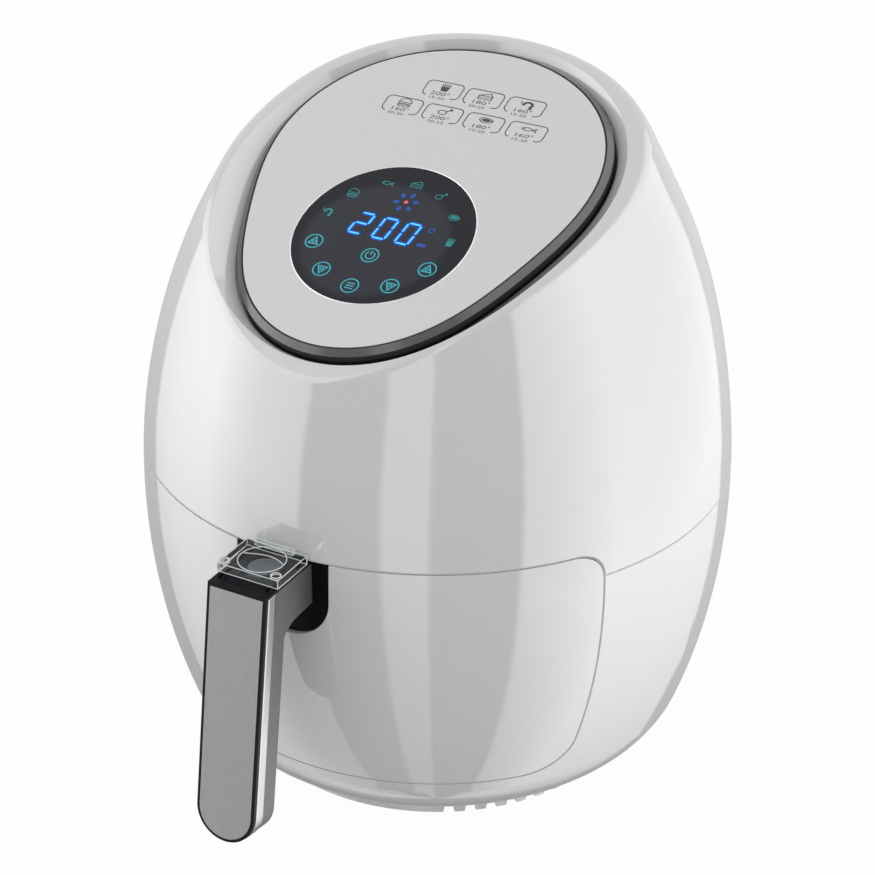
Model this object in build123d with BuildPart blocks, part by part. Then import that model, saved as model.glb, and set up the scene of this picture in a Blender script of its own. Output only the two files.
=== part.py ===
"""A hot-air fryer with a pull-out drawer, built from the separate pieces of the real appliance.

Millimetres. +Z is up, the front with the drawer handle looks along -Y, and the origin is on the floor
under the middle of the round body.
"""

import math
import os

from build123d import *

os.makedirs("parts", exist_ok=True)

# Body: an egg-shaped shell, upper and lower half, on a skirted base
BODY_RADIUS = 137.0
BODY_HALF_HEIGHT = 213.0
BODY_MIDDLE_Z = 135.0
BODY_BOTTOM_Z = 8.0
BODY_BOTTOM_RADIUS = 91.0
TUCK_ANGLE = -29.0
# Sections of the upper half: they lean back towards the crown, and flare sideways at its rim
UPPER_LOW_Z = 128.0
UPPER_STEP = 15.0
UPPER_SECTIONS = 15
LEAN_START_Z = 175.0
LEAN_BLEND = 15.0
LEAN = 0.06
FLARE_START_Z = 286.0
FLARE_BLEND = 8.0
FLARE = 0.0046
WALL = 2.6
SEAM_Z = 144.0
SEAM_GROOVE = 0.5
BOTTOM_OPENING_RADIUS = 76.5
LINING_GAP = 0.4
BOSS_PLACE_RADIUS = 88.0
BOSS_RADIUS = 6.0
BOSS_ANGLES = (-33, 45, 135, 213)

# Base
RING_OUTER = 92.5
RING_INNER = 84.5
RING_BOTTOM_Z = 0.8
NOTCH_FIRST_ANGLE = 32.8
NOTCH_STEP = 6.2
NOTCH_COUNT = 7
NOTCH_MOUTH_WIDTH = 5.2
NOTCH_TOP_WIDTH = 3.0
NOTCH_HEIGHT = 5.4
NOTCH_ROUND = 1.0
PLATE_RADIUS = 84.0
PLATE_BOTTOM_Z = 6.0
FOOT_RADIUS = 9.0
FOOT_PLACE_RADIUS = 74.0
FOOT_HEIGHT = 6.0
FOOT_ROUND = 0.8
AIR_SLOT_COUNT = 10
AIR_SLOT_PLACE_RADIUS = 40.0
AIR_SLOT_LENGTH = 36.0
AIR_SLOT_WIDTH = 5.0

# Screws
SCREW_RADIUS = 1.5
SCREW_CLEARANCE = 0.2
SCREW_BITE = 0.05
SCREW_HEAD_RADIUS = 3.0
SCREW_HEAD_HEIGHT = 1.4
BASE_SCREW_COUNT = 6
BASE_SCREW_PLACE_RADIUS = 80.5

# Rear grille, and the gland below it
VENT_HALF_WIDTH = 45.0
VENT_BOTTOM_Z = 160.0
VENT_TOP_Z = 196.0
VENT_CORNER = 6.0
VENT_GAP = 0.3
LOUVRE_COUNT = 5
LOUVRE_STEP = 6.0
LOUVRE_SPREAD = 40.0
LOUVRE_LENGTH = 34.0
LOUVRE_WIDTH = 3.0
GLAND_Z = 46.0
GLAND_RADIUS = 7.0
GLAND_BORE = 3.6
GLAND_INNER_Y = 112.0
GLAND_FLANGE_Y = 127.6
GLAND_FLANGE_OUT = 2.5
GLAND_FLANGE_LENGTH = 4.0

# Control panel: a raised lid on a deck that rises to the back
PANEL_TILT = 23.3
PANEL_Z = 291.2
PANEL_MIDDLE = -27.0
PANEL_REACH = (83.7, 5.0, 8.4, -4.0)
OUTLINE_STEPS = 20
SHEET_THICKNESS = 1.2
LID_DEPTH = 8.5
LID_BEVEL = 2.2
LID_FOOT_OUT = 4.4
LID_SHOULDER_OUT = 3.6
LID_EDGE_OUT = 0.9
LID_HOLLOW_IN = 2.0
SHEET_FIT = 0.25
DECK_THICKNESS = 3.0
DISH_FOOT_OUT = 4.9
DISH_FOOT_DEPTH = 5.5
DISH_TOP = 14.0
DISH_MOUTH_OUT = 25.0
CROWN_ROLL = 6.0
# Crown line seen from the side, as distances along and above the panel's face
CROWN_LINE = (
    (-175, -26),
    (-131, -6.5),
    (-108, 0.5),
    (-85, 4.2),
    (-60, 5),
    (-30, 3.6),
    (0, 0.8),
    (30, -0.8),
    (75, -1.2),
    (130, -1.5),
)
CROWN_CLEAR_Z = 120.0

# Display and its electronics, as distances along and below the panel's face
DISPLAY_CENTRE = -51.8
DISPLAY_RADIUS = 41.0
WINDOW_THICKNESS = 2.0
WINDOW_FIT = 0.15
BOARD_THICKNESS = 1.6
BOARD_DEPTH = 6.4
BOARD_RADIUS = 44.0
BOARD_POST_COUNT = 3
BOARD_POST_PLACE_RADIUS = 38.0
BOARD_POST_RADIUS = 3.0
LAMP_GAP = 0.2
DIGIT_BLOCK_SIZE = (40.0, 18.0)
DIGIT_BLOCK_UP = 8.0
TOUCH_RADIUS = 4.0
TOUCH_PLACES = ((-28.5, -13), (-16.8, -26.6), (0, -31.8), (16.8, -26.6), (28.5, -13), (0, -13))

# Drawer front
FRONT_EDGE_Y = -66.0
FRONT_TOP_Z = 156.5
FRONT_BOTTOM_Z = 38.3
FRONT_TOP_CORNER = 12.0
FRONT_BOTTOM_CORNER = 17.0
FRONT_GAP = 0.4
NOTCH_HALF_WIDTH = 22.5
NOTCH_BOTTOM_Z = 118.5
NOTCH_CORNER = 19.0
SLOT_GAP = 0.6

# Cooking chamber, pan and basket: rounded boxes nested in one another
CHAMBER_HALF_WIDTH = 101.5
CHAMBER_REAR_Y = 103.5
CHAMBER_FRONT_Y = -61.0
HEATER_FRONT_Y = -97.0
CHAMBER_CORNER = 67.0
SHEET_STEEL = 1.0
CHAMBER_FLOOR_Z = 40.0
CHAMBER_TOP_Z = 160.0
HEATER_TOP_Z = 195.0
FRAME_THICKNESS = 3.0
SILL_BOTTOM_Z = 34.8
SILL_TOP_Z = 37.0
CEILING_BOTTOM_Z = 158.0
RAIL_X = 60.0
RAIL_WIDTH = 6.0
RAIL_LENGTH = 120.0
RAIL_GAP = 0.3
DUCT_HALF_WIDTH = 30.0
DUCT_BOTTOM_Z = 166.0
DUCT_TOP_Z = 190.0
DUCT_END_Y = 126.4
PAN_HALF_WIDTH = 96.0
PAN_REAR_Y = 98.0
PAN_FRONT_Y = -106.0
PAN_CORNER = 62.0
PAN_WALL = 1.2
PAN_BOTTOM_Z = 46.0
PAN_TOP_Z = 141.0
PAN_FLOOR_ROUND = 10.0
RIM_OUT = 2.0
RIM_THICKNESS = 1.5
BASKET_MARGIN = 6.0
BASKET_WALL = 1.0
BASKET_FLOOR_Z = 53.0
BASKET_TOP_Z = 150.0
BASKET_LEDGE = 4.0
BASKET_FLOOR_FIT = 0.1
BASKET_FOOT_SPREAD = 110.0
BASKET_FOOT_RADIUS = 5.0
BASKET_FOOT_MARGIN = 4.0
BASKET_HOLE_RADIUS = 3.4
BASKET_HOLE_PITCH = 15.0
BASKET_HOLE_ROWS = 9
SIDE_SLOT_LENGTH = 22.0
SIDE_SLOT_WIDTH = 4.0
SIDE_SLOT_PITCH = 13.0
SIDE_SLOT_COUNT = 7
SIDE_SLOT_ROWS = (78, 108)

# What joins the drawer's front to the pan, and the safety switch beside the opening
CARRIER_FRONT_Y = -112.5
CARRIER_BACK_Y = -110.0
CARRIER_BOTTOM_Z = 41.0
CARRIER_TOP_Z = 153.0
CARRIER_NOTCH_HALF_WIDTH = 26.0
CARRIER_NOTCH_Z = 115.0
CARRIER_SCREWS = ((-40, 60), (40, 60), (-40, 106), (40, 106))
CARRIER_SCREW_LENGTH = 6.0
CARRIER_BOSS_RADIUS = 4.0
CARRIER_BOSS_HOLE_DEPTH = 4.0
PAN_BRACKET_Z = 76.0
PAN_BRACKET_WIDTH = 60.0
PAN_BRACKET_HEIGHT = 36.0
PAN_BRACKET_FLANGE = 6.0
TAB_BACK_Y = -66.2
TAB_WIDTH = 9.0
TAB_HEIGHT = 8.0
PLUNGER_X = 108.5
PLUNGER_Z = 120.0
PLUNGER_RADIUS = 2.5
PLUNGER_TIP_Y = -65.8
PLUNGER_BACK_Y = -56.0
PLUNGER_TRAVEL = 2.0
PLUNGER_ROUND = 1.0
SWITCH_WIDTH = 12.0
SWITCH_HEIGHT = 26.0
SWITCH_BACK_Y = -44.0

# Handle
GRIP_LEAN = 8.7
GRIP_TOP_Y = -169.7
GRIP_TOP_Z = 156.3
GRIP_LENGTH = 119.5
GRIP_HALF_WIDTH = 14.6
GRIP_DEPTH = 16.2
GRIP_ROUND = 2.5
BAND_FRONT = -1.8
BAND_BACK = -7.4
BAND_PROUD = 0.2
PLATE_INSET = 1.5
PLATE_RECESS = 1.0
PLATE_PROUD = 0.3
PLATE_GAP = 0.2
NECK_UNDERSIDE = ((-134.5, 135.4), (-148, 134.8), (-156.3, 131.2), (-160.5, 122))
NECK_FRONT_Y = (-164, -162.2)
BOSS_FRONT_Y = -134.5
BOSS_BACK_Y = -118.0
HANDLE_TOP_Z = 156.2
HANDLE_TOP_THICKNESS = 1.4
BUTTON_Y = -148.5
BUTTON_RADIUS = 7.5
BUTTON_TOP_Z = 155.9
BUTTON_BOTTOM_Z = 149.9
BUTTON_ROUND = 0.8
BUTTON_GAP = 0.4
GUARD_FRONT_Y = -161.5
GUARD_BACK_Y = -138.6
GUARD_HALF_WIDTH = 15.0
GUARD_GAP = 0.3
GUARD_HEIGHT = 4.2
GUARD_TRAVEL = 20.0
GUARD_CORNER = 0.8
GUARD_POST_RADIUS = 2.2
GUARD_POST_UP = 0.9
GUARD_RAIL_SIZE = (19.0, 2.0, 1.8)
GUARD_RAIL_IN = 1.6
GUARD_FOOT_X = 11.8
GUARD_FOOT_WIDTH = 1.0
GUARD_FOOT_LENGTH = 5.0
GUARD_FOOT_HEIGHT = 1.4
GUARD_FOOT_BACK_Y = -139.8
GUARD_FOOT_GAP = 0.3
DIMPLE_RADIUS = 10.4
DIMPLE_DEPTH = 1.8
BOLT_HALF_WIDTH = 5.0
BOLT_BOTTOM_Z = 138.0
BOLT_TOP_Z = 141.0
BOLT_TRAVEL = 3.0
BOLT_CLEARANCE = 0.6
BOLT_TIP_Y = -112.8
BOLT_ROOM_Y = -153.3
RAMP_FOOT_Y = -141.0
RAMP_FRONT_Y = -149.6
RAMP_CLEARANCE = 0.4
WEDGE_GAP = 0.55
WEDGE_OVERLAP = 1.2
WEDGE_FLAT = 2.2
CATCH_HALF_WIDTH = 6.0
CATCH_THICKNESS = 1.5
CATCH_GAP = 0.6
CATCH_FRONT_Y = -116.0
CATCH_BOTTOM_Z = 97.0
STRAP_INNER_X = 9.0
STRAP_OUTER_X = 18.0
STRAP_THICKNESS = 1.5
STRAP_Z = 145.0
STRAP_PLATE_Z = (142.6, 148.2)
STRAP_TAB_Z = (144.9, 153.9)
STRAP_SCREWS = ((-13.5, 150.6), (13.5, 150.6))
STRAP_SCREW_HEAD_RADIUS = 2.6
STRAP_SCREW_LENGTH = 10.0

# Fan, motor and heater, all on the body's own axis
SHAFT_RADIUS = 4.0
RUNNING_FIT = 0.1
DECK_Z = 197.0
MOTOR_RADIUS = 34.0
MOTOR_BOTTOM_Z = 206.0
MOTOR_TOP_Z = 238.0
ELEMENT_Z = 168.0
ELEMENT_RADIUS = 3.2
ELEMENT_TURN_RADIUS = 54.0
ELEMENT_STEP = 6.0
ELEMENT_HALF_TURNS = 5
ELEMENT_POST_RADIUS = 5.0
ELEMENT_POST_GAP = 0.5
ELEMENT_POST_UP = 1.5
ELEMENT_GUARD_THICKNESS = 1.2
ELEMENT_GUARD_FIT = 0.1
ELEMENT_GUARD_PITCH = 13.0
ELEMENT_GUARD_HOLE = 10.5
ELEMENT_GUARD_ROWS = 13
ELEMENT_GUARD_REACH = 88.0
SHAFT_HOLE_RADIUS = 8.0
CUTOUT_PLACE = (62.0, 60.0)
CUTOUT_FLANGE = (22.0, 12.0, 1.0)
CUTOUT_CAP = (10.0, 6.0, 0.8)
DECK_RADIUS = 125.0
DECK_PLATE = 2.5
DECK_HOLE_MARGIN = 3.0
SPACER_RADIUS = 5.0
SPACER_PLACES = ((-72, -62), (72, -62), (-72, 72), (72, 72))
BRIDGE_LENGTH = 96.0
BRIDGE_WIDTH = 40.0
BRIDGE_PLATE = 2.0
BRIDGE_LEG = 8.0
MOTOR_ROUND = 3.0
HUB_RADIUS = 9.0
PRESS_GAP = 0.02
SHAFT_END = 2.0
HOT_FAN_TOP_Z = 190.0
HOT_FAN_BOTTOM_Z = 175.0
HOT_FAN_RADIUS = 46.0
HOT_FAN_BLADES = 10
HOT_FAN_SHEET = 1.2
COOLING_FAN_BOTTOM_Z = 241.0
COOLING_FAN_TOP_Z = 250.0
COOLING_FAN_RADIUS = 40.0
COOLING_FAN_HUB_RADIUS = 12.0
COOLING_FAN_BLADES = 8
COOLING_FAN_BLADE = 1.5
COOLING_FAN_RING = (10.0, 1.2)

# Power board behind the motor; each component is its place and its size, a box or a round can
POWER_BOARD_Z = 206.0
POWER_BOARD_Y = 74.0
POWER_BOARD_SIZE = (100.0, 54.0)
POWER_BOARD_CORNER = 3.0
POWER_POST_RADIUS = 3.5
POWER_POSTS = ((-44, 52), (44, 52), (-44, 96), (44, 96))
POWER_BOXES = (((-28, 70), (30, 24), 18), ((16, 84), (20, 16), 15))
POWER_CANS = ((10, 60), (36, 64))
POWER_CAN_RADIUS = 6.0
POWER_CAN_HEIGHT = 20.0

panel_sine = math.sin(math.radians(PANEL_TILT))
panel_cosine = math.cos(math.radians(PANEL_TILT))
PANEL = Plane(origin=(0, 0, PANEL_Z), x_dir=(1, 0, 0), z_dir=(0, -panel_sine, panel_cosine))
PANEL_SIDE = Plane(origin=(0, 0, PANEL_Z), x_dir=(0, panel_cosine, panel_sine), z_dir=(1, 0, 0))

grip_sine = math.sin(math.radians(GRIP_LEAN))
grip_cosine = math.cos(math.radians(GRIP_LEAN))
GRIP = Plane(
    origin=(0, GRIP_TOP_Y, GRIP_TOP_Z), x_dir=(1, 0, 0), z_dir=(0, -grip_cosine, grip_sine)
)


def envelope(inset):
    """The egg-shaped body as a solid of revolution, drawn in by inset all round."""
    bottom = BODY_BOTTOM_Z + inset
    with BuildPart() as egg:
        with BuildSketch(Plane.XZ):
            with BuildLine():
                side = EllipticalCenterArc(
                    (0, BODY_MIDDLE_Z),
                    BODY_RADIUS - inset,
                    BODY_HALF_HEIGHT - inset,
                    start_angle=TUCK_ANGLE,
                    arc_size=90 - TUCK_ANGLE,
                )
                tuck = TangentArc(
                    side @ 0, (BODY_BOTTOM_RADIUS - inset, bottom), tangent=-(side % 0)
                )
                Polyline(tuck @ 1, (0, bottom), side @ 1)
            make_face()
        revolve(axis=Axis.Z)
    return egg.part


def upper_envelope(inset):
    """The upper half of the body as a loft of ellipses, drawn in by inset all round."""
    radius = BODY_RADIUS - inset
    half_height = BODY_HALF_HEIGHT - inset
    with BuildPart() as upper:
        for step in range(UPPER_SECTIONS):
            height = UPPER_LOW_Z + step * UPPER_STEP
            reach = radius * math.sqrt(1 - ((height - BODY_MIDDLE_Z) / half_height) ** 2)
            rise = height - LEAN_START_Z
            lean = LEAN * (rise + math.hypot(rise, LEAN_BLEND)) / 2
            flare_rise = height - FLARE_START_Z
            flare = FLARE * (flare_rise + math.hypot(flare_rise, FLARE_BLEND)) / 2
            with BuildSketch(Plane.XY.offset(height)):
                with Locations((0, lean)):
                    Ellipse(reach * (1 + flare), reach)
        loft()
    return upper.part


def panel_outline(grow):
    """Points round the panel's egg outline, grown outwards."""
    points = []
    for step in range(OUTLINE_STEPS):
        turn = 2 * math.pi * step / OUTLINE_STEPS
        reach = sum(part * math.cos(order * turn) for order, part in enumerate(PANEL_REACH))
        reach += grow
        points.append((reach * math.sin(turn), PANEL_MIDDLE + reach * math.cos(turn)))
    return points


def panel_prism(grow, low, high):
    """The panel's outline as a straight-sided solid between two depths from its face."""
    with BuildPart() as prism:
        with BuildSketch(PANEL.offset(low)):
            with BuildLine():
                Spline(*panel_outline(grow), periodic=True)
            make_face()
        extrude(amount=high - low)
    return prism.part


def panel_loft(low_grow, low, high_grow, high):
    """The panel's outline as a solid that widens or narrows between two depths."""
    with BuildPart() as cone:
        with BuildSketch(PANEL.offset(low)):
            with BuildLine():
                Spline(*panel_outline(low_grow), periodic=True)
            make_face()
        with BuildSketch(PANEL.offset(high)):
            with BuildLine():
                Spline(*panel_outline(high_grow), periodic=True)
            make_face()
        loft()
    return cone.part


def rounded_box(half_width, front, rear, corner, low, high):
    """An upright box with four rounded corners."""
    with BuildPart() as box:
        with BuildSketch(Plane.XY.offset(low)):
            with Locations((0, (front + rear) / 2)):
                RectangleRounded(2 * half_width, rear - front, corner)
        extrude(amount=high - low)
    return box.part


def tub(half_width, front, rear, corner, low, high, floor_round):
    """A rounded box with its bottom edge rounded too, the shape of a pan or of the space in it."""
    with BuildPart() as shape:
        add(rounded_box(half_width, front, rear, corner, low, high))
        fillet(shape.edges().group_by(Axis.Z)[0], floor_round)
    return shape.part


def side_view_block(gap):
    """The drawer front's outline seen from the side, as a block across the whole body."""
    front = -BODY_RADIUS - 20
    rear = FRONT_EDGE_Y + gap
    low = FRONT_BOTTOM_Z - gap
    high = FRONT_TOP_Z + gap
    with BuildPart() as block:
        with BuildSketch(Plane.YZ.offset(-2 * BODY_RADIUS)):
            with BuildLine():
                FilletPolyline(
                    (front, low),
                    (rear, low),
                    (rear, high),
                    (front, high),
                    radius=[FRONT_BOTTOM_CORNER, FRONT_TOP_CORNER],
                )
                Line((front, high), (front, low))
            make_face()
        extrude(amount=4 * BODY_RADIUS)
    return block.part


def shield_block(gap, front, rear, top):
    """The U-shaped root of the handle as a block, grown by gap."""
    half = NOTCH_HALF_WIDTH + gap
    bottom = NOTCH_BOTTOM_Z - gap
    with BuildPart() as block:
        with BuildSketch(Plane.XZ.offset(-rear)):
            with BuildLine():
                FilletPolyline(
                    (-half, top), (-half, bottom), (half, bottom), (half, top), radius=NOTCH_CORNER + gap
                )
                Line((half, top), (-half, top))
            make_face()
        extrude(amount=rear - front)
    return block.part


outer_body = envelope(0)
inner_body = envelope(WALL)
upper_outer = upper_envelope(0)
upper_inner = upper_envelope(WALL)
lining_body = envelope(WALL + LINING_GAP)

with BuildPart() as crown_cut:
    with BuildSketch(PANEL_SIDE.offset(-2 * BODY_RADIUS)):
        with BuildLine():
            crown = Spline(*CROWN_LINE)
            Polyline(
                crown @ 1, (CROWN_LINE[-1][0], CROWN_CLEAR_Z), (CROWN_LINE[0][0], CROWN_CLEAR_Z), crown @ 0
            )
        make_face()
    extrude(amount=4 * BODY_RADIUS)

with BuildPart() as upper_cavity:
    add(upper_inner)
    split(bisect_by=PANEL.offset(-LID_DEPTH - DECK_THICKNESS), keep=Keep.BOTTOM)

def vent_block(gap):
    """The rear grille's outline as a block through the back wall."""
    with BuildPart() as block:
        with BuildSketch(Plane.XZ):
            with Locations((0, (VENT_BOTTOM_Z + VENT_TOP_Z) / 2)):
                RectangleRounded(
                    2 * (VENT_HALF_WIDTH + gap),
                    VENT_TOP_Z - VENT_BOTTOM_Z + 2 * gap,
                    VENT_CORNER + gap,
                )
        extrude(amount=-2 * BODY_RADIUS)
    return block.part


# Upper half of the body shell, with the deck for the panel
with BuildPart() as upper_housing:
    add(upper_outer)
    add(crown_cut.part, mode=Mode.SUBTRACT)
    crown_edges = upper_housing.edges().filter_by(lambda edge: edge.center().Z > 225 and edge.length > 100)
    fillet(crown_edges, CROWN_ROLL)
    split(bisect_by=Plane.XY.offset(SEAM_Z), keep=Keep.TOP)
    add(upper_cavity.part, mode=Mode.SUBTRACT)
    add(panel_prism(DISH_FOOT_OUT, -LID_DEPTH, 0), mode=Mode.SUBTRACT)
    add(panel_loft(DISH_FOOT_OUT, -DISH_FOOT_DEPTH, DISH_MOUTH_OUT, DISH_TOP), mode=Mode.SUBTRACT)
    add(side_view_block(FRONT_GAP), mode=Mode.SUBTRACT)
    add(vent_block(VENT_GAP), mode=Mode.SUBTRACT)
    seam_edge = upper_housing.edges().group_by(Axis.Z)[0].sort_by(SortBy.LENGTH)[-1]
    chamfer(seam_edge, SEAM_GROOVE)
upper_housing.part.label = "upper_housing"
export_step(upper_housing.part, "parts/upper_housing.step")

# Lower half of the body shell, open at the front for the drawer and below for the base plate
with BuildPart() as lower_housing:
    add(outer_body)
    split(bisect_by=Plane.XY.offset(SEAM_Z), keep=Keep.BOTTOM)
    add(inner_body, mode=Mode.SUBTRACT)
    Cylinder(BOTTOM_OPENING_RADIUS, 4 * BODY_BOTTOM_Z, mode=Mode.SUBTRACT)
    add(side_view_block(FRONT_GAP), mode=Mode.SUBTRACT)
    with BuildSketch(Plane.XY.offset(BODY_BOTTOM_Z + WALL - 0.1)):
        for angle in BOSS_ANGLES:
            with PolarLocations(BOSS_PLACE_RADIUS, 1, start_angle=angle):
                Circle(BOSS_RADIUS)
    extrude(amount=CHAMBER_FLOOR_Z - BODY_BOTTOM_Z - WALL + 0.1)
    with BuildSketch(Plane.XY):
        with PolarLocations(BASE_SCREW_PLACE_RADIUS, BASE_SCREW_COUNT):
            Circle(SCREW_RADIUS + SCREW_CLEARANCE)
    extrude(amount=BODY_BOTTOM_Z + 2 * WALL, mode=Mode.SUBTRACT)
    with BuildSketch(Plane.XZ):
        with Locations((0, GLAND_Z)):
            Circle(GLAND_RADIUS + SCREW_CLEARANCE)
    extrude(amount=-2 * BODY_RADIUS, mode=Mode.SUBTRACT)
    add(vent_block(VENT_GAP), mode=Mode.SUBTRACT)
    seam_edges = lower_housing.edges().group_by(Axis.Z)[-1].sort_by(SortBy.LENGTH)
    chamfer(seam_edges[-1], SEAM_GROOVE)
lower_housing.part.label = "lower_housing"
export_step(lower_housing.part, "parts/lower_housing.step")

# Bottom cover with air slots
with BuildPart() as base_plate:
    with BuildSketch(Plane.XY.offset(PLATE_BOTTOM_Z)):
        Circle(PLATE_RADIUS)
        with PolarLocations(BASE_SCREW_PLACE_RADIUS, BASE_SCREW_COUNT):
            Circle(SCREW_RADIUS + SCREW_CLEARANCE, mode=Mode.SUBTRACT)
        with PolarLocations(AIR_SLOT_PLACE_RADIUS, AIR_SLOT_COUNT):
            SlotOverall(AIR_SLOT_LENGTH, AIR_SLOT_WIDTH, mode=Mode.SUBTRACT)
    extrude(amount=BODY_BOTTOM_Z - PLATE_BOTTOM_Z)
base_plate.part.label = "base_plate"
export_step(base_plate.part, "parts/base_plate.step")

# Skirt round the base, with a row of air notches in each flank
with BuildPart() as base_ring:
    with BuildSketch(Plane.XY.offset(RING_BOTTOM_Z)):
        Circle(RING_OUTER)
        Circle(RING_INNER, mode=Mode.SUBTRACT)
    extrude(amount=BODY_BOTTOM_Z - RING_BOTTOM_Z)
    notch_angles = [NOTCH_FIRST_ANGLE + NOTCH_STEP * step for step in range(NOTCH_COUNT)]
    for angle in notch_angles + [-angle for angle in notch_angles]:
        turn = math.radians(angle)
        place = (RING_OUTER * math.sin(turn), -RING_OUTER * math.cos(turn), RING_BOTTOM_Z)
        face = Plane(
            origin=place,
            x_dir=(math.cos(turn), math.sin(turn), 0),
            z_dir=(math.sin(turn), -math.cos(turn), 0),
        )
        with BuildSketch(face):
            with BuildLine():
                notch = FilletPolyline(
                    (-NOTCH_MOUTH_WIDTH / 2, 0),
                    (-NOTCH_TOP_WIDTH / 2, NOTCH_HEIGHT),
                    (NOTCH_TOP_WIDTH / 2, NOTCH_HEIGHT),
                    (NOTCH_MOUTH_WIDTH / 2, 0),
                    radius=NOTCH_ROUND,
                )
                Line(notch @ 1, notch @ 0)
            make_face()
        extrude(amount=2 * (RING_OUTER - RING_INNER), both=True, mode=Mode.SUBTRACT)
base_ring.part.label = "base_ring"
export_step(base_ring.part, "parts/base_ring.step")

# Four rubber feet under the bottom cover
with BuildPart() as rubber_feet:
    with BuildSketch(Plane.XY):
        with PolarLocations(FOOT_PLACE_RADIUS, 4, start_angle=45):
            Circle(FOOT_RADIUS)
    extrude(amount=FOOT_HEIGHT)
    fillet(rubber_feet.edges().group_by(Axis.Z)[0], FOOT_ROUND)
rubber_feet.part.label = "rubber_feet"
export_step(rubber_feet.part, "parts/rubber_feet.step")

# Screws that hold the bottom cover to the lower shell
with BuildPart() as base_screws:
    with BuildSketch(Plane.XY.offset(PLATE_BOTTOM_Z - SCREW_HEAD_HEIGHT)):
        with PolarLocations(BASE_SCREW_PLACE_RADIUS, BASE_SCREW_COUNT):
            Circle(SCREW_HEAD_RADIUS)
    extrude(amount=SCREW_HEAD_HEIGHT)
    with BuildSketch(Plane.XY.offset(PLATE_BOTTOM_Z)):
        with PolarLocations(BASE_SCREW_PLACE_RADIUS, BASE_SCREW_COUNT):
            Circle(SCREW_RADIUS)
    extrude(amount=BODY_BOTTOM_Z + WALL - PLATE_BOTTOM_Z)
base_screws.part.label = "base_screws"
export_step(base_screws.part, "parts/base_screws.step")

# Grille over the exhaust at the back, following the body's curve
with BuildPart() as rear_vent:
    add(upper_outer)
    add(upper_inner, mode=Mode.SUBTRACT)
    add(vent_block(0), mode=Mode.INTERSECT)
    with BuildSketch(Plane.XZ):
        with Locations((0, (VENT_BOTTOM_Z + VENT_TOP_Z) / 2)):
            with GridLocations(LOUVRE_SPREAD, LOUVRE_STEP, 2, LOUVRE_COUNT):
                SlotOverall(LOUVRE_LENGTH, LOUVRE_WIDTH)
    extrude(amount=-2 * BODY_RADIUS, mode=Mode.SUBTRACT)
rear_vent.part.label = "rear_vent"
export_step(rear_vent.part, "parts/rear_vent.step")

# Gland where the mains cord would leave the lower shell
with BuildPart() as cord_gland:
    with BuildSketch(Plane.XZ.offset(-GLAND_INNER_Y)):
        with Locations((0, GLAND_Z)):
            Circle(GLAND_RADIUS)
            Circle(GLAND_BORE, mode=Mode.SUBTRACT)
    extrude(amount=GLAND_INNER_Y - GLAND_FLANGE_Y)
    with BuildSketch(Plane.XZ.offset(-GLAND_FLANGE_Y)):
        with Locations((0, GLAND_Z)):
            Circle(GLAND_RADIUS + GLAND_FLANGE_OUT)
            Circle(GLAND_BORE, mode=Mode.SUBTRACT)
    extrude(amount=-GLAND_FLANGE_LENGTH)
    fillet(cord_gland.edges().group_by(Axis.Y)[-1], 1.0)
cord_gland.part.label = "cord_gland"
export_step(cord_gland.part, "parts/cord_gland.step")

# Black frame of the raised panel lid: a bevel above a nearly upright wall
with BuildPart() as panel_frame:
    add(panel_loft(LID_FOOT_OUT, -LID_DEPTH, LID_SHOULDER_OUT, -LID_BEVEL))
    add(panel_loft(LID_SHOULDER_OUT, -LID_BEVEL, LID_EDGE_OUT, 0))
    add(panel_prism(-LID_HOLLOW_IN, -LID_DEPTH - 1, 1), mode=Mode.SUBTRACT)
    add(panel_prism(SHEET_FIT, -SHEET_THICKNESS, 1), mode=Mode.SUBTRACT)
panel_frame.part.label = "panel_frame"
export_step(panel_frame.part, "parts/panel_frame.step")

# Light grey sheet on the lid, with a round hole for the display
with BuildPart() as panel_sheet:
    add(panel_prism(0, -SHEET_THICKNESS, 0))
    with BuildSketch(PANEL.offset(-SHEET_THICKNESS)):
        with Locations((0, DISPLAY_CENTRE)):
            Circle(DISPLAY_RADIUS)
    extrude(amount=2 * SHEET_THICKNESS, mode=Mode.SUBTRACT)
panel_sheet.part.label = "panel_sheet"
export_step(panel_sheet.part, "parts/panel_sheet.step")

# Dark round display window, set into the sheet's hole
with BuildPart() as display_window:
    with BuildSketch(PANEL.offset(-WINDOW_THICKNESS)):
        with Locations((0, DISPLAY_CENTRE)):
            Circle(DISPLAY_RADIUS - WINDOW_FIT)
    extrude(amount=WINDOW_THICKNESS)
display_window.part.label = "display_window"
export_step(display_window.part, "parts/display_window.step")

# Display board under the window, on three posts that stand on the deck
with BuildPart() as display_board:
    with BuildSketch(PANEL.offset(-BOARD_DEPTH)):
        with Locations((0, DISPLAY_CENTRE)):
            Circle(BOARD_RADIUS)
    extrude(amount=BOARD_THICKNESS)
display_board.part.label = "display_board"
export_step(display_board.part, "parts/display_board.step")

with BuildPart() as board_posts:
    with BuildSketch(PANEL.offset(-LID_DEPTH)):
        with Locations((0, DISPLAY_CENTRE)):
            with PolarLocations(BOARD_POST_PLACE_RADIUS, BOARD_POST_COUNT, start_angle=90):
                Circle(BOARD_POST_RADIUS)
    extrude(amount=LID_DEPTH - BOARD_DEPTH)
board_posts.part.label = "board_posts"
export_step(board_posts.part, "parts/board_posts.step")

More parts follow.
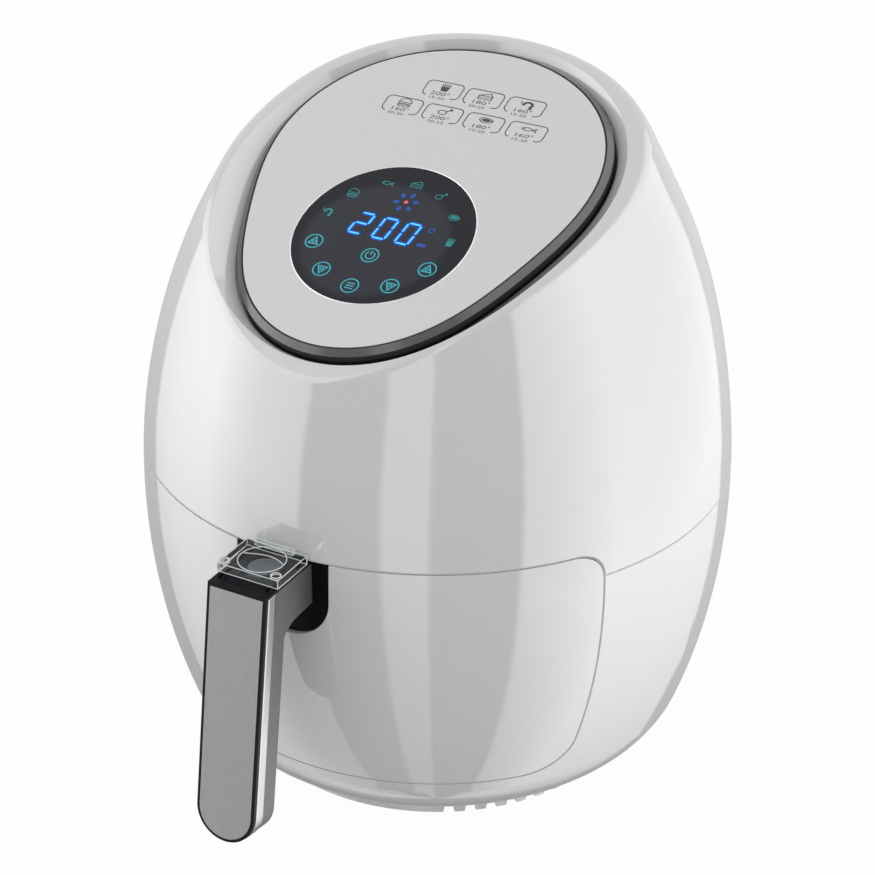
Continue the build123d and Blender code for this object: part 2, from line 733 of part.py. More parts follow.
# Lamp block behind the digits, and the touch pads round it
lamp_top = -WINDOW_THICKNESS - LAMP_GAP
lamp_base = BOARD_THICKNESS - BOARD_DEPTH
with BuildPart() as digit_block:
    with BuildSketch(PANEL.offset(lamp_base)):
        with Locations((0, DISPLAY_CENTRE + DIGIT_BLOCK_UP)):
            Rectangle(*DIGIT_BLOCK_SIZE)
    extrude(amount=lamp_top - lamp_base)
digit_block.part.label = "digit_block"
export_step(digit_block.part, "parts/digit_block.step")

with BuildPart() as touch_pads:
    with BuildSketch(PANEL.offset(lamp_base)):
        for across, along in TOUCH_PLACES:
            with Locations((across, DISPLAY_CENTRE + along)):
                Circle(TOUCH_RADIUS)
    extrude(amount=lamp_top - lamp_base)
touch_pads.part.label = "touch_pads"
export_step(touch_pads.part, "parts/touch_pads.step")

# Inner frame of the drawer opening: front plate, sill and ceiling inside the shells
with BuildPart() as chamber_frame:
    with BuildSketch(Plane.XZ.offset(-CHAMBER_FRONT_Y)):
        with Locations((0, (SILL_BOTTOM_Z + CHAMBER_TOP_Z) / 2)):
            Rectangle(3 * BODY_RADIUS, CHAMBER_TOP_Z - SILL_BOTTOM_Z)
    extrude(amount=FRAME_THICKNESS)
    for low, high in ((SILL_BOTTOM_Z, SILL_TOP_Z), (CEILING_BOTTOM_Z, CHAMBER_TOP_Z)):
        with BuildSketch(Plane.XY.offset(low)):
            with Locations((0, CHAMBER_FRONT_Y)):
                Rectangle(3 * BODY_RADIUS, BODY_RADIUS, align=(Align.CENTER, Align.MAX))
        extrude(amount=high - low)
    add(lining_body, mode=Mode.INTERSECT)
    opening_width = 2 * (CHAMBER_HALF_WIDTH - SHEET_STEEL)
    with BuildSketch(Plane.XZ.offset(-CHAMBER_FRONT_Y + 2 * FRAME_THICKNESS)):
        with Locations((0, CHAMBER_FLOOR_Z + SHEET_STEEL)):
            Rectangle(
                opening_width,
                CHAMBER_TOP_Z - CHAMBER_FLOOR_Z,
                align=(Align.CENTER, Align.MIN),
            )
    extrude(amount=-4 * FRAME_THICKNESS, mode=Mode.SUBTRACT)
    add(
        rounded_box(
            CHAMBER_HALF_WIDTH - SHEET_STEEL,
            HEATER_FRONT_Y + 3,
            CHAMBER_REAR_Y,
            CHAMBER_CORNER - SHEET_STEEL,
            CEILING_BOTTOM_Z - 1,
            CHAMBER_TOP_Z + 1,
        ),
        mode=Mode.SUBTRACT,
    )
    with BuildSketch(Plane.XZ.offset(-CHAMBER_FRONT_Y - 5)):
        with Locations((PLUNGER_X, PLUNGER_Z)):
            Circle(PLUNGER_RADIUS + 0.4)
    extrude(amount=20, mode=Mode.SUBTRACT)
chamber_frame.part.label = "chamber_frame"
export_step(chamber_frame.part, "parts/chamber_frame.step")

# Steel liner round the drawer: floor with two rails, sides and back, open in front and above
liner_front = CHAMBER_FRONT_Y - 2 * CHAMBER_CORNER
with BuildPart() as chamber_liner:
    add(
        rounded_box(
            CHAMBER_HALF_WIDTH,
            liner_front,
            CHAMBER_REAR_Y,
            CHAMBER_CORNER,
            CHAMBER_FLOOR_Z,
            CHAMBER_TOP_Z,
        )
    )
    add(
        rounded_box(
            CHAMBER_HALF_WIDTH - SHEET_STEEL,
            liner_front,
            CHAMBER_REAR_Y - SHEET_STEEL,
            CHAMBER_CORNER - SHEET_STEEL,
            CHAMBER_FLOOR_Z + SHEET_STEEL,
            CHAMBER_TOP_Z + 1,
        ),
        mode=Mode.SUBTRACT,
    )
    split(bisect_by=Plane.XZ.offset(-CHAMBER_FRONT_Y), keep=Keep.BOTTOM)
    with BuildSketch(Plane.XY.offset(CHAMBER_FLOOR_Z + SHEET_STEEL)):
        for side in (-1, 1):
            with Locations((side * RAIL_X, CHAMBER_FRONT_Y)):
                Rectangle(RAIL_WIDTH, RAIL_LENGTH, align=(Align.CENTER, Align.MIN))
    extrude(amount=PAN_BOTTOM_Z - RAIL_GAP - CHAMBER_FLOOR_Z - SHEET_STEEL)
chamber_liner.part.label = "chamber_liner"
export_step(chamber_liner.part, "parts/chamber_liner.step")

# Heat reflector: an upturned steel tray over the chamber, with the outlet at its back
def spiral_points():
    """Centre and radius of each half turn of the heating element, and where it starts and ends."""
    halves = []
    centre = 0.0
    reach = ELEMENT_TURN_RADIUS
    for step in range(ELEMENT_HALF_TURNS):
        side = 1 if step % 2 == 0 else -1
        halves.append((centre, reach, side))
        centre += side * ELEMENT_STEP
        reach += ELEMENT_STEP
    return halves


half_turns = spiral_points()
first_centre, first_reach, first_side = half_turns[0]
last_centre, last_reach, last_side = half_turns[-1]
element_ends = ((first_centre + first_side * first_reach, 0), (last_centre - last_side * last_reach, 0))

with BuildPart() as heat_reflector:
    add(
        rounded_box(
            CHAMBER_HALF_WIDTH,
            HEATER_FRONT_Y,
            CHAMBER_REAR_Y,
            CHAMBER_CORNER,
            CHAMBER_TOP_Z,
            HEATER_TOP_Z,
        )
    )
    add(
        rounded_box(
            CHAMBER_HALF_WIDTH - SHEET_STEEL,
            HEATER_FRONT_Y + SHEET_STEEL,
            CHAMBER_REAR_Y - SHEET_STEEL,
            CHAMBER_CORNER - SHEET_STEEL,
            CHAMBER_TOP_Z - 1,
            HEATER_TOP_Z - SHEET_STEEL,
        ),
        mode=Mode.SUBTRACT,
    )
    with BuildSketch(Plane.XY.offset(HEATER_TOP_Z - 5)):
        Circle(SHAFT_HOLE_RADIUS)
        for across, along in element_ends:
            with Locations((across, along)):
                Circle(ELEMENT_POST_RADIUS + ELEMENT_POST_GAP)
    extrude(amount=10, mode=Mode.SUBTRACT)
    with BuildSketch(Plane.XZ.offset(-CHAMBER_REAR_Y - 5)):
        with Locations((0, (DUCT_BOTTOM_Z + DUCT_TOP_Z) / 2)):
            Rectangle(2 * (DUCT_HALF_WIDTH - SHEET_STEEL), DUCT_TOP_Z - DUCT_BOTTOM_Z - 2 * SHEET_STEEL)
    extrude(amount=10, mode=Mode.SUBTRACT)
heat_reflector.part.label = "heat_reflector"
export_step(heat_reflector.part, "parts/heat_reflector.step")

# Duct from the reflector to the rear grille
with BuildPart() as exhaust_duct:
    with BuildSketch(Plane.XZ.offset(-CHAMBER_REAR_Y)):
        with Locations((0, (DUCT_BOTTOM_Z + DUCT_TOP_Z) / 2)):
            Rectangle(2 * DUCT_HALF_WIDTH, DUCT_TOP_Z - DUCT_BOTTOM_Z)
            Rectangle(
                2 * (DUCT_HALF_WIDTH - SHEET_STEEL),
                DUCT_TOP_Z - DUCT_BOTTOM_Z - 2 * SHEET_STEEL,
                mode=Mode.SUBTRACT,
            )
    extrude(amount=CHAMBER_REAR_Y - DUCT_END_Y)
exhaust_duct.part.label = "exhaust_duct"
export_step(exhaust_duct.part, "parts/exhaust_duct.step")

# Heating element: a flat tube spiral of half turns, hung on two upright ends
with BuildPart() as heating_element:
    with BuildLine(Plane.XY.offset(ELEMENT_Z)) as spiral:
        for centre, reach, side in half_turns:
            start = 0 if side > 0 else 180
            CenterArc((centre, 0), reach, start, 180)
    with BuildSketch(Plane(origin=spiral.line @ 0, z_dir=spiral.line % 0)):
        Circle(ELEMENT_RADIUS)
    sweep(path=spiral.line)
    with BuildSketch(Plane.XY.offset(ELEMENT_Z - ELEMENT_RADIUS)):
        for across, along in element_ends:
            with Locations((across, along)):
                Circle(ELEMENT_POST_RADIUS)
    extrude(amount=HEATER_TOP_Z + ELEMENT_POST_UP - ELEMENT_Z + ELEMENT_RADIUS)
heating_element.part.label = "heating_element"
export_step(heating_element.part, "parts/heating_element.step")

# Wire guard under the element
with BuildPart() as element_guard:
    add(
        rounded_box(
            CHAMBER_HALF_WIDTH - SHEET_STEEL - ELEMENT_GUARD_FIT,
            HEATER_FRONT_Y + SHEET_STEEL + ELEMENT_GUARD_FIT,
            CHAMBER_REAR_Y - SHEET_STEEL - ELEMENT_GUARD_FIT,
            CHAMBER_CORNER - SHEET_STEEL - ELEMENT_GUARD_FIT,
            CHAMBER_TOP_Z,
            CHAMBER_TOP_Z + ELEMENT_GUARD_THICKNESS,
        )
    )
    with BuildSketch(Plane.XY.offset(CHAMBER_TOP_Z - 1)):
        with GridLocations(
            ELEMENT_GUARD_PITCH, ELEMENT_GUARD_PITCH, ELEMENT_GUARD_ROWS, ELEMENT_GUARD_ROWS
        ) as grid:
            centres = [place.position for place in grid.locations]
        for centre in centres:
            if math.hypot(centre.X, centre.Y) < ELEMENT_GUARD_REACH:
                with Locations((centre.X, centre.Y)):
                    Rectangle(ELEMENT_GUARD_HOLE, ELEMENT_GUARD_HOLE)
    extrude(amount=4, mode=Mode.SUBTRACT)
element_guard.part.label = "element_guard"
export_step(element_guard.part, "parts/element_guard.step")

# Thermal cut-out on top of the reflector
with BuildPart() as thermal_cutout:
    height = HEATER_TOP_Z
    for length, width, thickness in (CUTOUT_FLANGE, CUTOUT_CAP):
        with BuildSketch(Plane.XY.offset(height)):
            with Locations(CUTOUT_PLACE):
                RectangleRounded(length, width, width / 6)
        extrude(amount=thickness)
        height += thickness
thermal_cutout.part.label = "thermal_cutout"
export_step(thermal_cutout.part, "parts/thermal_cutout.step")

# Machine deck above the reflector, on four spacers
with BuildPart() as deck_spacers:
    with BuildSketch(Plane.XY.offset(HEATER_TOP_Z)):
        with Locations(*SPACER_PLACES):
            Circle(SPACER_RADIUS)
    extrude(amount=DECK_Z - HEATER_TOP_Z)
deck_spacers.part.label = "deck_spacers"
export_step(deck_spacers.part, "parts/deck_spacers.step")

with BuildPart() as machine_deck:
    with BuildSketch(Plane.XY.offset(DECK_Z)):
        Circle(DECK_RADIUS)
        Circle(SHAFT_HOLE_RADIUS + DECK_HOLE_MARGIN, mode=Mode.SUBTRACT)
        for across, along in element_ends:
            with Locations((across, along)):
                Circle(ELEMENT_POST_RADIUS + DECK_HOLE_MARGIN, mode=Mode.SUBTRACT)
    extrude(amount=DECK_PLATE)
machine_deck.part.label = "machine_deck"
export_step(machine_deck.part, "parts/machine_deck.step")

# Bridge that carries the motor over the deck
deck_top = DECK_Z + DECK_PLATE
with BuildPart() as motor_bridge:
    with BuildSketch(Plane.XY.offset(MOTOR_BOTTOM_Z - BRIDGE_PLATE)):
        Rectangle(BRIDGE_LENGTH, BRIDGE_WIDTH)
        Circle(SHAFT_HOLE_RADIUS, mode=Mode.SUBTRACT)
    extrude(amount=BRIDGE_PLATE)
    with BuildSketch(Plane.XY.offset(deck_top)):
        with GridLocations(BRIDGE_LENGTH - BRIDGE_LEG, 0, 2, 1):
            Rectangle(BRIDGE_LEG, BRIDGE_WIDTH)
    extrude(amount=MOTOR_BOTTOM_Z - BRIDGE_PLATE - deck_top)
motor_bridge.part.label = "motor_bridge"
export_step(motor_bridge.part, "parts/motor_bridge.step")

# Motor can, bored for its shaft
with BuildPart() as motor:
    with BuildSketch(Plane.XY.offset(MOTOR_BOTTOM_Z)):
        Circle(MOTOR_RADIUS)
        Circle(SHAFT_RADIUS + RUNNING_FIT, mode=Mode.SUBTRACT)
    extrude(amount=MOTOR_TOP_Z - MOTOR_BOTTOM_Z)
    fillet(motor.edges().filter_by(lambda edge: edge.length > 4 * MOTOR_RADIUS), MOTOR_ROUND)
motor.part.label = "motor"
export_step(motor.part, "parts/motor.step")

# Shaft through the motor, with a fan on each end
with BuildPart() as motor_shaft:
    with BuildSketch(Plane.XY.offset(HOT_FAN_BOTTOM_Z - SHAFT_END)):
        Circle(SHAFT_RADIUS)
    extrude(amount=COOLING_FAN_TOP_Z - HOT_FAN_BOTTOM_Z + 2 * SHAFT_END)
motor_shaft.part.label = "motor_shaft"
export_step(motor_shaft.part, "parts/motor_shaft.step")


def radial_blades(inner, outer, count, thickness):
    """Sketch flat radial blades between two radii, in the sketch that is open."""
    with PolarLocations((inner + outer) / 2, count):
        Rectangle(outer - inner, thickness)


with BuildPart() as hot_air_fan:
    with BuildSketch(Plane.XY.offset(HOT_FAN_TOP_Z - HOT_FAN_SHEET)):
        Circle(HOT_FAN_RADIUS)
    extrude(amount=HOT_FAN_SHEET)
    with BuildSketch(Plane.XY.offset(HOT_FAN_BOTTOM_Z)):
        Circle(HUB_RADIUS)
        radial_blades(HUB_RADIUS - 1, HOT_FAN_RADIUS, HOT_FAN_BLADES, HOT_FAN_SHEET)
    extrude(amount=HOT_FAN_TOP_Z - HOT_FAN_SHEET / 2 - HOT_FAN_BOTTOM_Z)
    with BuildSketch(Plane.XY.offset(HOT_FAN_BOTTOM_Z - 1)):
        Circle(SHAFT_RADIUS + PRESS_GAP)
    extrude(amount=40, mode=Mode.SUBTRACT)
hot_air_fan.part.label = "hot_air_fan"
export_step(hot_air_fan.part, "parts/hot_air_fan.step")

with BuildPart() as cooling_fan:
    with BuildSketch(Plane.XY.offset(COOLING_FAN_BOTTOM_Z)):
        Circle(COOLING_FAN_HUB_RADIUS)
        radial_blades(HUB_RADIUS, COOLING_FAN_RADIUS, COOLING_FAN_BLADES, COOLING_FAN_BLADE)
    extrude(amount=COOLING_FAN_TOP_Z - COOLING_FAN_BOTTOM_Z)
    with BuildSketch(Plane.XY.offset(COOLING_FAN_BOTTOM_Z)):
        Circle(COOLING_FAN_RADIUS)
        Circle(COOLING_FAN_RADIUS - COOLING_FAN_RING[0], mode=Mode.SUBTRACT)
    extrude(amount=COOLING_FAN_RING[1])
    with BuildSketch(Plane.XY.offset(COOLING_FAN_BOTTOM_Z - 1)):
        Circle(SHAFT_RADIUS + PRESS_GAP)
    extrude(amount=20, mode=Mode.SUBTRACT)
cooling_fan.part.label = "cooling_fan"
export_step(cooling_fan.part, "parts/cooling_fan.step")

# Power board behind the motor, with its posts and the larger components on it
with BuildPart() as power_posts:
    with BuildSketch(Plane.XY.offset(deck_top)):
        with Locations(*POWER_POSTS):
            Circle(POWER_POST_RADIUS)
    extrude(amount=POWER_BOARD_Z - deck_top)
power_posts.part.label = "power_posts"
export_step(power_posts.part, "parts/power_posts.step")

with BuildPart() as power_board:
    with BuildSketch(Plane.XY.offset(POWER_BOARD_Z)):
        with Locations((0, POWER_BOARD_Y)):
            RectangleRounded(*POWER_BOARD_SIZE, POWER_BOARD_CORNER)
    extrude(amount=BOARD_THICKNESS)
power_board.part.label = "power_board"
export_step(power_board.part, "parts/power_board.step")

power_top = POWER_BOARD_Z + BOARD_THICKNESS
with BuildPart() as power_components:
    for place, size, height in POWER_BOXES:
        with BuildSketch(Plane.XY.offset(power_top)):
            with Locations(place):
                Rectangle(*size)
        extrude(amount=height)
    with BuildSketch(Plane.XY.offset(power_top)):
        with Locations(*POWER_CANS):
            Circle(POWER_CAN_RADIUS)
    extrude(amount=POWER_CAN_HEIGHT)
power_components.part.label = "power_components"
export_step(power_components.part, "parts/power_components.step")

# Drawer switch on the frame's inner side, with its plunger through the frame
with BuildPart() as drawer_switch:
    with BuildSketch(Plane.XZ.offset(-CHAMBER_FRONT_Y)):
        with Locations((PLUNGER_X, PLUNGER_Z)):
            RectangleRounded(SWITCH_WIDTH, SWITCH_HEIGHT, SWITCH_WIDTH / 8)
    extrude(amount=CHAMBER_FRONT_Y - SWITCH_BACK_Y)
    with BuildSketch(Plane.XZ.offset(-CHAMBER_FRONT_Y + 1)):
        with Locations((PLUNGER_X, PLUNGER_Z)):
            Circle(PLUNGER_RADIUS + 0.1)
    extrude(amount=CHAMBER_FRONT_Y - 1 - PLUNGER_BACK_Y - PLUNGER_TRAVEL - 1, mode=Mode.SUBTRACT)
drawer_switch.part.label = "drawer_switch"
export_step(drawer_switch.part, "parts/drawer_switch.step")

with BuildPart() as switch_plunger:
    with BuildSketch(Plane.XZ.offset(-PLUNGER_BACK_Y)):
        with Locations((PLUNGER_X, PLUNGER_Z)):
            Circle(PLUNGER_RADIUS)
    extrude(amount=PLUNGER_BACK_Y - PLUNGER_TIP_Y)
    fillet(switch_plunger.edges().group_by(Axis.Y)[0], PLUNGER_ROUND)
switch_plunger.part.label = "switch_plunger"
export_step(switch_plunger.part, "parts/switch_plunger.step")

# Outer pan of the drawer
with BuildPart() as pan:
    add(
        tub(
            PAN_HALF_WIDTH,
            PAN_FRONT_Y,
            PAN_REAR_Y,
            PAN_CORNER,
            PAN_BOTTOM_Z,
            PAN_TOP_Z,
            PAN_FLOOR_ROUND,
        )
    )
    add(
        rounded_box(
            PAN_HALF_WIDTH + RIM_OUT,
            PAN_FRONT_Y - RIM_OUT,
            PAN_REAR_Y + RIM_OUT,
            PAN_CORNER + RIM_OUT,
            PAN_TOP_Z - RIM_THICKNESS,
            PAN_TOP_Z,
        )
    )
    add(
        tub(
            PAN_HALF_WIDTH - PAN_WALL,
            PAN_FRONT_Y + PAN_WALL,
            PAN_REAR_Y - PAN_WALL,
            PAN_CORNER - PAN_WALL,
            PAN_BOTTOM_Z + PAN_WALL,
            PAN_TOP_Z + 5,
            PAN_FLOOR_ROUND - PAN_WALL,
        ),
        mode=Mode.SUBTRACT,
    )
pan.part.label = "pan"
export_step(pan.part, "parts/pan.step")

# Frying basket inside the pan: a slotted wall with a rim above and a ledge below
basket_half_width = PAN_HALF_WIDTH - BASKET_MARGIN
basket_front = PAN_FRONT_Y + BASKET_MARGIN
basket_rear = PAN_REAR_Y - BASKET_MARGIN
basket_corner = PAN_CORNER - BASKET_MARGIN
basket_middle = (basket_front + basket_rear) / 2
basket_ledge_z = BASKET_FLOOR_Z + BASKET_WALL


def basket_block(inset, low, high):
    """The basket's outline, drawn in by inset, between two heights."""
    return rounded_box(
        basket_half_width - inset,
        basket_front + inset,
        basket_rear - inset,
        basket_corner - inset,
        low,
        high,
    )


with BuildPart() as basket:
    add(basket_block(0, BASKET_FLOOR_Z, BASKET_TOP_Z))
    add(basket_block(-RIM_OUT, BASKET_TOP_Z - RIM_THICKNESS, BASKET_TOP_Z))
    add(basket_block(BASKET_WALL, basket_ledge_z, BASKET_TOP_Z + 5), mode=Mode.SUBTRACT)
    add(basket_block(BASKET_WALL + BASKET_LEDGE, BASKET_FLOOR_Z - 1, basket_ledge_z + 1), mode=Mode.SUBTRACT)
    for height in SIDE_SLOT_ROWS:
        with BuildSketch(Plane.YZ.offset(-basket_half_width - 5)):
            with Locations((basket_middle, height)):
                with GridLocations(SIDE_SLOT_PITCH, 0, SIDE_SLOT_COUNT, 1):
                    SlotOverall(SIDE_SLOT_LENGTH, SIDE_SLOT_WIDTH, rotation=90)
        extrude(amount=2 * basket_half_width + 10, mode=Mode.SUBTRACT)
        with BuildSketch(Plane.XZ.offset(-basket_rear - 5)):
            with Locations((0, height)):
                with GridLocations(SIDE_SLOT_PITCH, 0, SIDE_SLOT_COUNT, 1):
                    SlotOverall(SIDE_SLOT_LENGTH, SIDE_SLOT_WIDTH, rotation=90)
        extrude(amount=basket_rear - basket_front + 10, mode=Mode.SUBTRACT)
basket.part.label = "basket"
export_step(basket.part, "parts/basket.step")

# Perforated floor that lies on the basket's ledge, on four pressed feet
with BuildPart() as basket_floor:
    add(basket_block(BASKET_WALL + BASKET_FLOOR_FIT, basket_ledge_z, basket_ledge_z + BASKET_WALL))
    with BuildSketch(Plane.XY.offset(PAN_BOTTOM_Z + PAN_WALL)):
        with Locations((0, basket_middle)):
            with GridLocations(BASKET_FOOT_SPREAD, BASKET_FOOT_SPREAD, 2, 2):
                Circle(BASKET_FOOT_RADIUS)
    extrude(amount=basket_ledge_z - PAN_BOTTOM_Z - PAN_WALL)
    with BuildSketch(Plane.XY.offset(BASKET_FLOOR_Z)):
        with Locations((0, basket_middle)):
            with GridLocations(BASKET_HOLE_PITCH, BASKET_HOLE_PITCH, BASKET_HOLE_ROWS, BASKET_HOLE_ROWS):
                Circle(BASKET_HOLE_RADIUS)
            with GridLocations(BASKET_FOOT_SPREAD, BASKET_FOOT_SPREAD, 2, 2):
                Circle(BASKET_FOOT_RADIUS + BASKET_FOOT_MARGIN, mode=Mode.SUBTRACT)
    extrude(amount=3 * BASKET_WALL, mode=Mode.SUBTRACT)
basket_floor.part.label = "basket_floor"
export_step(basket_floor.part, "parts/basket_floor.step")

# Front of the drawer: a slice of the body's own curve, with a slot for the handle's root
with BuildPart() as drawer_front:
    add(outer_body)
    add(inner_body, mode=Mode.SUBTRACT)
    add(side_view_block(-FRONT_GAP), mode=Mode.INTERSECT)
    with BuildSketch(Plane.XZ.offset(-CARRIER_FRONT_Y)):
        with Locations(*CARRIER_SCREWS):
            Circle(CARRIER_BOSS_RADIUS)
    extrude(until=Until.NEXT)
    with BuildSketch(Plane.XZ.offset(-CARRIER_FRONT_Y)):
        with Locations(*CARRIER_SCREWS):
            Circle(SCREW_RADIUS + SCREW_BITE)
    extrude(amount=CARRIER_BOSS_HOLE_DEPTH, mode=Mode.SUBTRACT)
    with BuildSketch(Plane.XZ.offset(-TAB_BACK_Y)):
        with Locations((PLUNGER_X + 1, PLUNGER_Z)):
            Rectangle(TAB_WIDTH, TAB_HEIGHT)
    extrude(until=Until.NEXT)
    add(
        shield_block(SLOT_GAP, -2 * BODY_RADIUS, -BODY_RADIUS / 2, FRONT_TOP_Z + 30),
        mode=Mode.SUBTRACT,
    )
drawer_front.part.label = "drawer_front"
export_step(drawer_front.part, "parts/drawer_front.step")

# Carrier plate inside the drawer front, with room for the handle's root
with BuildPart() as front_carrier:
    with BuildSketch(Plane.XZ.offset(-CARRIER_BACK_Y)):
        with Locations((0, (CARRIER_BOTTOM_Z + CARRIER_TOP_Z) / 2)):
            Rectangle(2 * BODY_RADIUS, CARRIER_TOP_Z - CARRIER_BOTTOM_Z)
        with Locations((0, CARRIER_NOTCH_Z)):
            Rectangle(
                2 * CARRIER_NOTCH_HALF_WIDTH,
                CARRIER_TOP_Z,
                align=(Align.CENTER, Align.MIN),
                mode=Mode.SUBTRACT,
            )
        with Locations(*CARRIER_SCREWS):
            Circle(SCREW_RADIUS + SCREW_CLEARANCE, mode=Mode.SUBTRACT)
    extrude(amount=CARRIER_BACK_Y - CARRIER_FRONT_Y)
    add(lining_body, mode=Mode.INTERSECT)
front_carrier.part.label = "front_carrier"
export_step(front_carrier.part, "parts/front_carrier.step")

with BuildPart() as carrier_screws:
    with BuildSketch(Plane.XZ.offset(-CARRIER_BACK_Y)):
        with Locations(*CARRIER_SCREWS):
            Circle(SCREW_HEAD_RADIUS)
    extrude(amount=-SCREW_HEAD_HEIGHT)
    with BuildSketch(Plane.XZ.offset(-CARRIER_BACK_Y)):
        with Locations(*CARRIER_SCREWS):
            Circle(SCREW_RADIUS)
    extrude(amount=CARRIER_SCREW_LENGTH)
carrier_screws.part.label = "carrier_screws"
export_step(carrier_screws.part, "parts/carrier_screws.step")

# Pressed bracket between the pan and the carrier
with BuildPart() as pan_bracket:
    with BuildSketch(Plane.XZ.offset(-PAN_FRONT_Y)):
        with Locations((0, PAN_BRACKET_Z)):
            Rectangle(PAN_BRACKET_WIDTH, PAN_BRACKET_HEIGHT)
    extrude(amount=SHEET_STEEL)
    with BuildSketch(Plane.XZ.offset(-PAN_FRONT_Y + SHEET_STEEL)):
        with Locations((0, PAN_BRACKET_Z)):
            with GridLocations(PAN_BRACKET_WIDTH - PAN_BRACKET_FLANGE, 0, 2, 1):
                Rectangle(PAN_BRACKET_FLANGE, PAN_BRACKET_HEIGHT)
    extrude(amount=PAN_FRONT_Y - SHEET_STEEL - CARRIER_BACK_Y)
pan_bracket.part.label = "pan_bracket"
export_step(pan_bracket.part, "parts/pan_bracket.step")

# Catch that the basket's bolt goes under
catch_top = BOLT_TOP_Z + CATCH_GAP + CATCH_THICKNESS
with BuildPart() as latch_catch:
    with BuildSketch(Plane.YZ.offset(-CATCH_HALF_WIDTH)):
        with BuildLine():
            Polyline(
                (CARRIER_BACK_Y, CATCH_BOTTOM_Z),
                (CARRIER_BACK_Y, catch_top - CATCH_THICKNESS),
                (CATCH_FRONT_Y, catch_top - CATCH_THICKNESS),
                (CATCH_FRONT_Y, catch_top),
                (CARRIER_BACK_Y + CATCH_THICKNESS, catch_top),
                (CARRIER_BACK_Y + CATCH_THICKNESS, CATCH_BOTTOM_Z),
                close=True,
            )
        make_face()
    extrude(amount=2 * CATCH_HALF_WIDTH)
latch_catch.part.label = "latch_catch"
export_step(latch_catch.part, "parts/latch_catch.step")

# Steel strap from the basket over the pan's rim to the handle's root
with BuildPart() as handle_strap:
    with BuildSketch(Plane.XZ.offset(-basket_front)):
        with Locations((0, sum(STRAP_PLATE_Z) / 2)):
            Rectangle(2 * STRAP_OUTER_X, STRAP_PLATE_Z[1] - STRAP_PLATE_Z[0])
    extrude(amount=STRAP_THICKNESS)
    for side in (-1, 1):
        middle = side * (STRAP_INNER_X + STRAP_OUTER_X) / 2
        with BuildSketch(Plane.XY.offset(STRAP_Z)):
            with Locations((middle, basket_front)):
                Rectangle(
                    STRAP_OUTER_X - STRAP_INNER_X,
                    basket_front - BOSS_BACK_Y,
                    align=(Align.CENTER, Align.MAX),
                )
        extrude(amount=STRAP_THICKNESS)
        with BuildSketch(Plane.XZ.offset(-BOSS_BACK_Y - STRAP_THICKNESS)):
            with Locations((middle, sum(STRAP_TAB_Z) / 2)):
                Rectangle(STRAP_OUTER_X - STRAP_INNER_X, STRAP_TAB_Z[1] - STRAP_TAB_Z[0])
        extrude(amount=STRAP_THICKNESS)
    with BuildSketch(Plane.XZ.offset(-BOSS_BACK_Y - 5)):
        with Locations(*STRAP_SCREWS):
            Circle(SCREW_RADIUS + SCREW_CLEARANCE)
    extrude(amount=10, mode=Mode.SUBTRACT)
handle_strap.part.label = "handle_strap"
export_step(handle_strap.part, "parts/handle_strap.step")

# Root of the handle: the dark shield in the drawer front's slot, bored for the bolt and two screws
with BuildPart() as handle_root:
    add(shield_block(0, BOSS_FRONT_Y, BOSS_BACK_Y, FRONT_TOP_Z - FRONT_GAP))
    with BuildSketch(Plane.XZ.offset(-BOSS_BACK_Y)):
        with Locations((0, (BOLT_BOTTOM_Z + BOLT_TOP_Z) / 2)):
            Rectangle(
                2 * (BOLT_HALF_WIDTH + BOLT_CLEARANCE),
                BOLT_TOP_Z - BOLT_BOTTOM_Z + 2 * BOLT_CLEARANCE,
            )
    extrude(amount=BOSS_BACK_Y - BOSS_FRONT_Y, mode=Mode.SUBTRACT)
    with BuildSketch(Plane.XZ.offset(-BOSS_BACK_Y)):
        with Locations(*STRAP_SCREWS):
            Circle(SCREW_RADIUS + SCREW_BITE)
    extrude(amount=STRAP_SCREW_LENGTH + 0.5, mode=Mode.SUBTRACT)
handle_root.part.label = "handle_root"
export_step(handle_root.part, "parts/handle_root.step")

with BuildPart() as handle_screws:
    with BuildSketch(Plane.XZ.offset(-BOSS_BACK_Y - STRAP_THICKNESS)):
        with Locations(*STRAP_SCREWS):
            Circle(STRAP_SCREW_HEAD_RADIUS)
    extrude(amount=-SCREW_HEAD_HEIGHT)
    with BuildSketch(Plane.XZ.offset(-BOSS_BACK_Y - STRAP_THICKNESS)):
        with Locations(*STRAP_SCREWS):
            Circle(SCREW_RADIUS)
    extrude(amount=STRAP_SCREW_LENGTH + STRAP_THICKNESS)
handle_screws.part.label = "handle_screws"
export_step(handle_screws.part, "parts/handle_screws.step")


def grip_layer(inset, back, front, top_z):
    """A slice of the leaning grip between two depths: straight sides, round lower end, level top."""
    half = GRIP_HALF_WIDTH - inset
    lowest = half - GRIP_LENGTH + inset
    with BuildPart() as layer:
        with BuildSketch(GRIP.offset(back)):
            with BuildLine():
                Polyline((-half, lowest), (-half, 20), (half, 20), (half, lowest))
                ThreePointArc((half, lowest), (0, lowest - half), (-half, lowest))
            make_face()
        extrude(amount=front - back)
        split(bisect_by=Plane.XY.offset(top_z), keep=Keep.BOTTOM)
    return layer.part


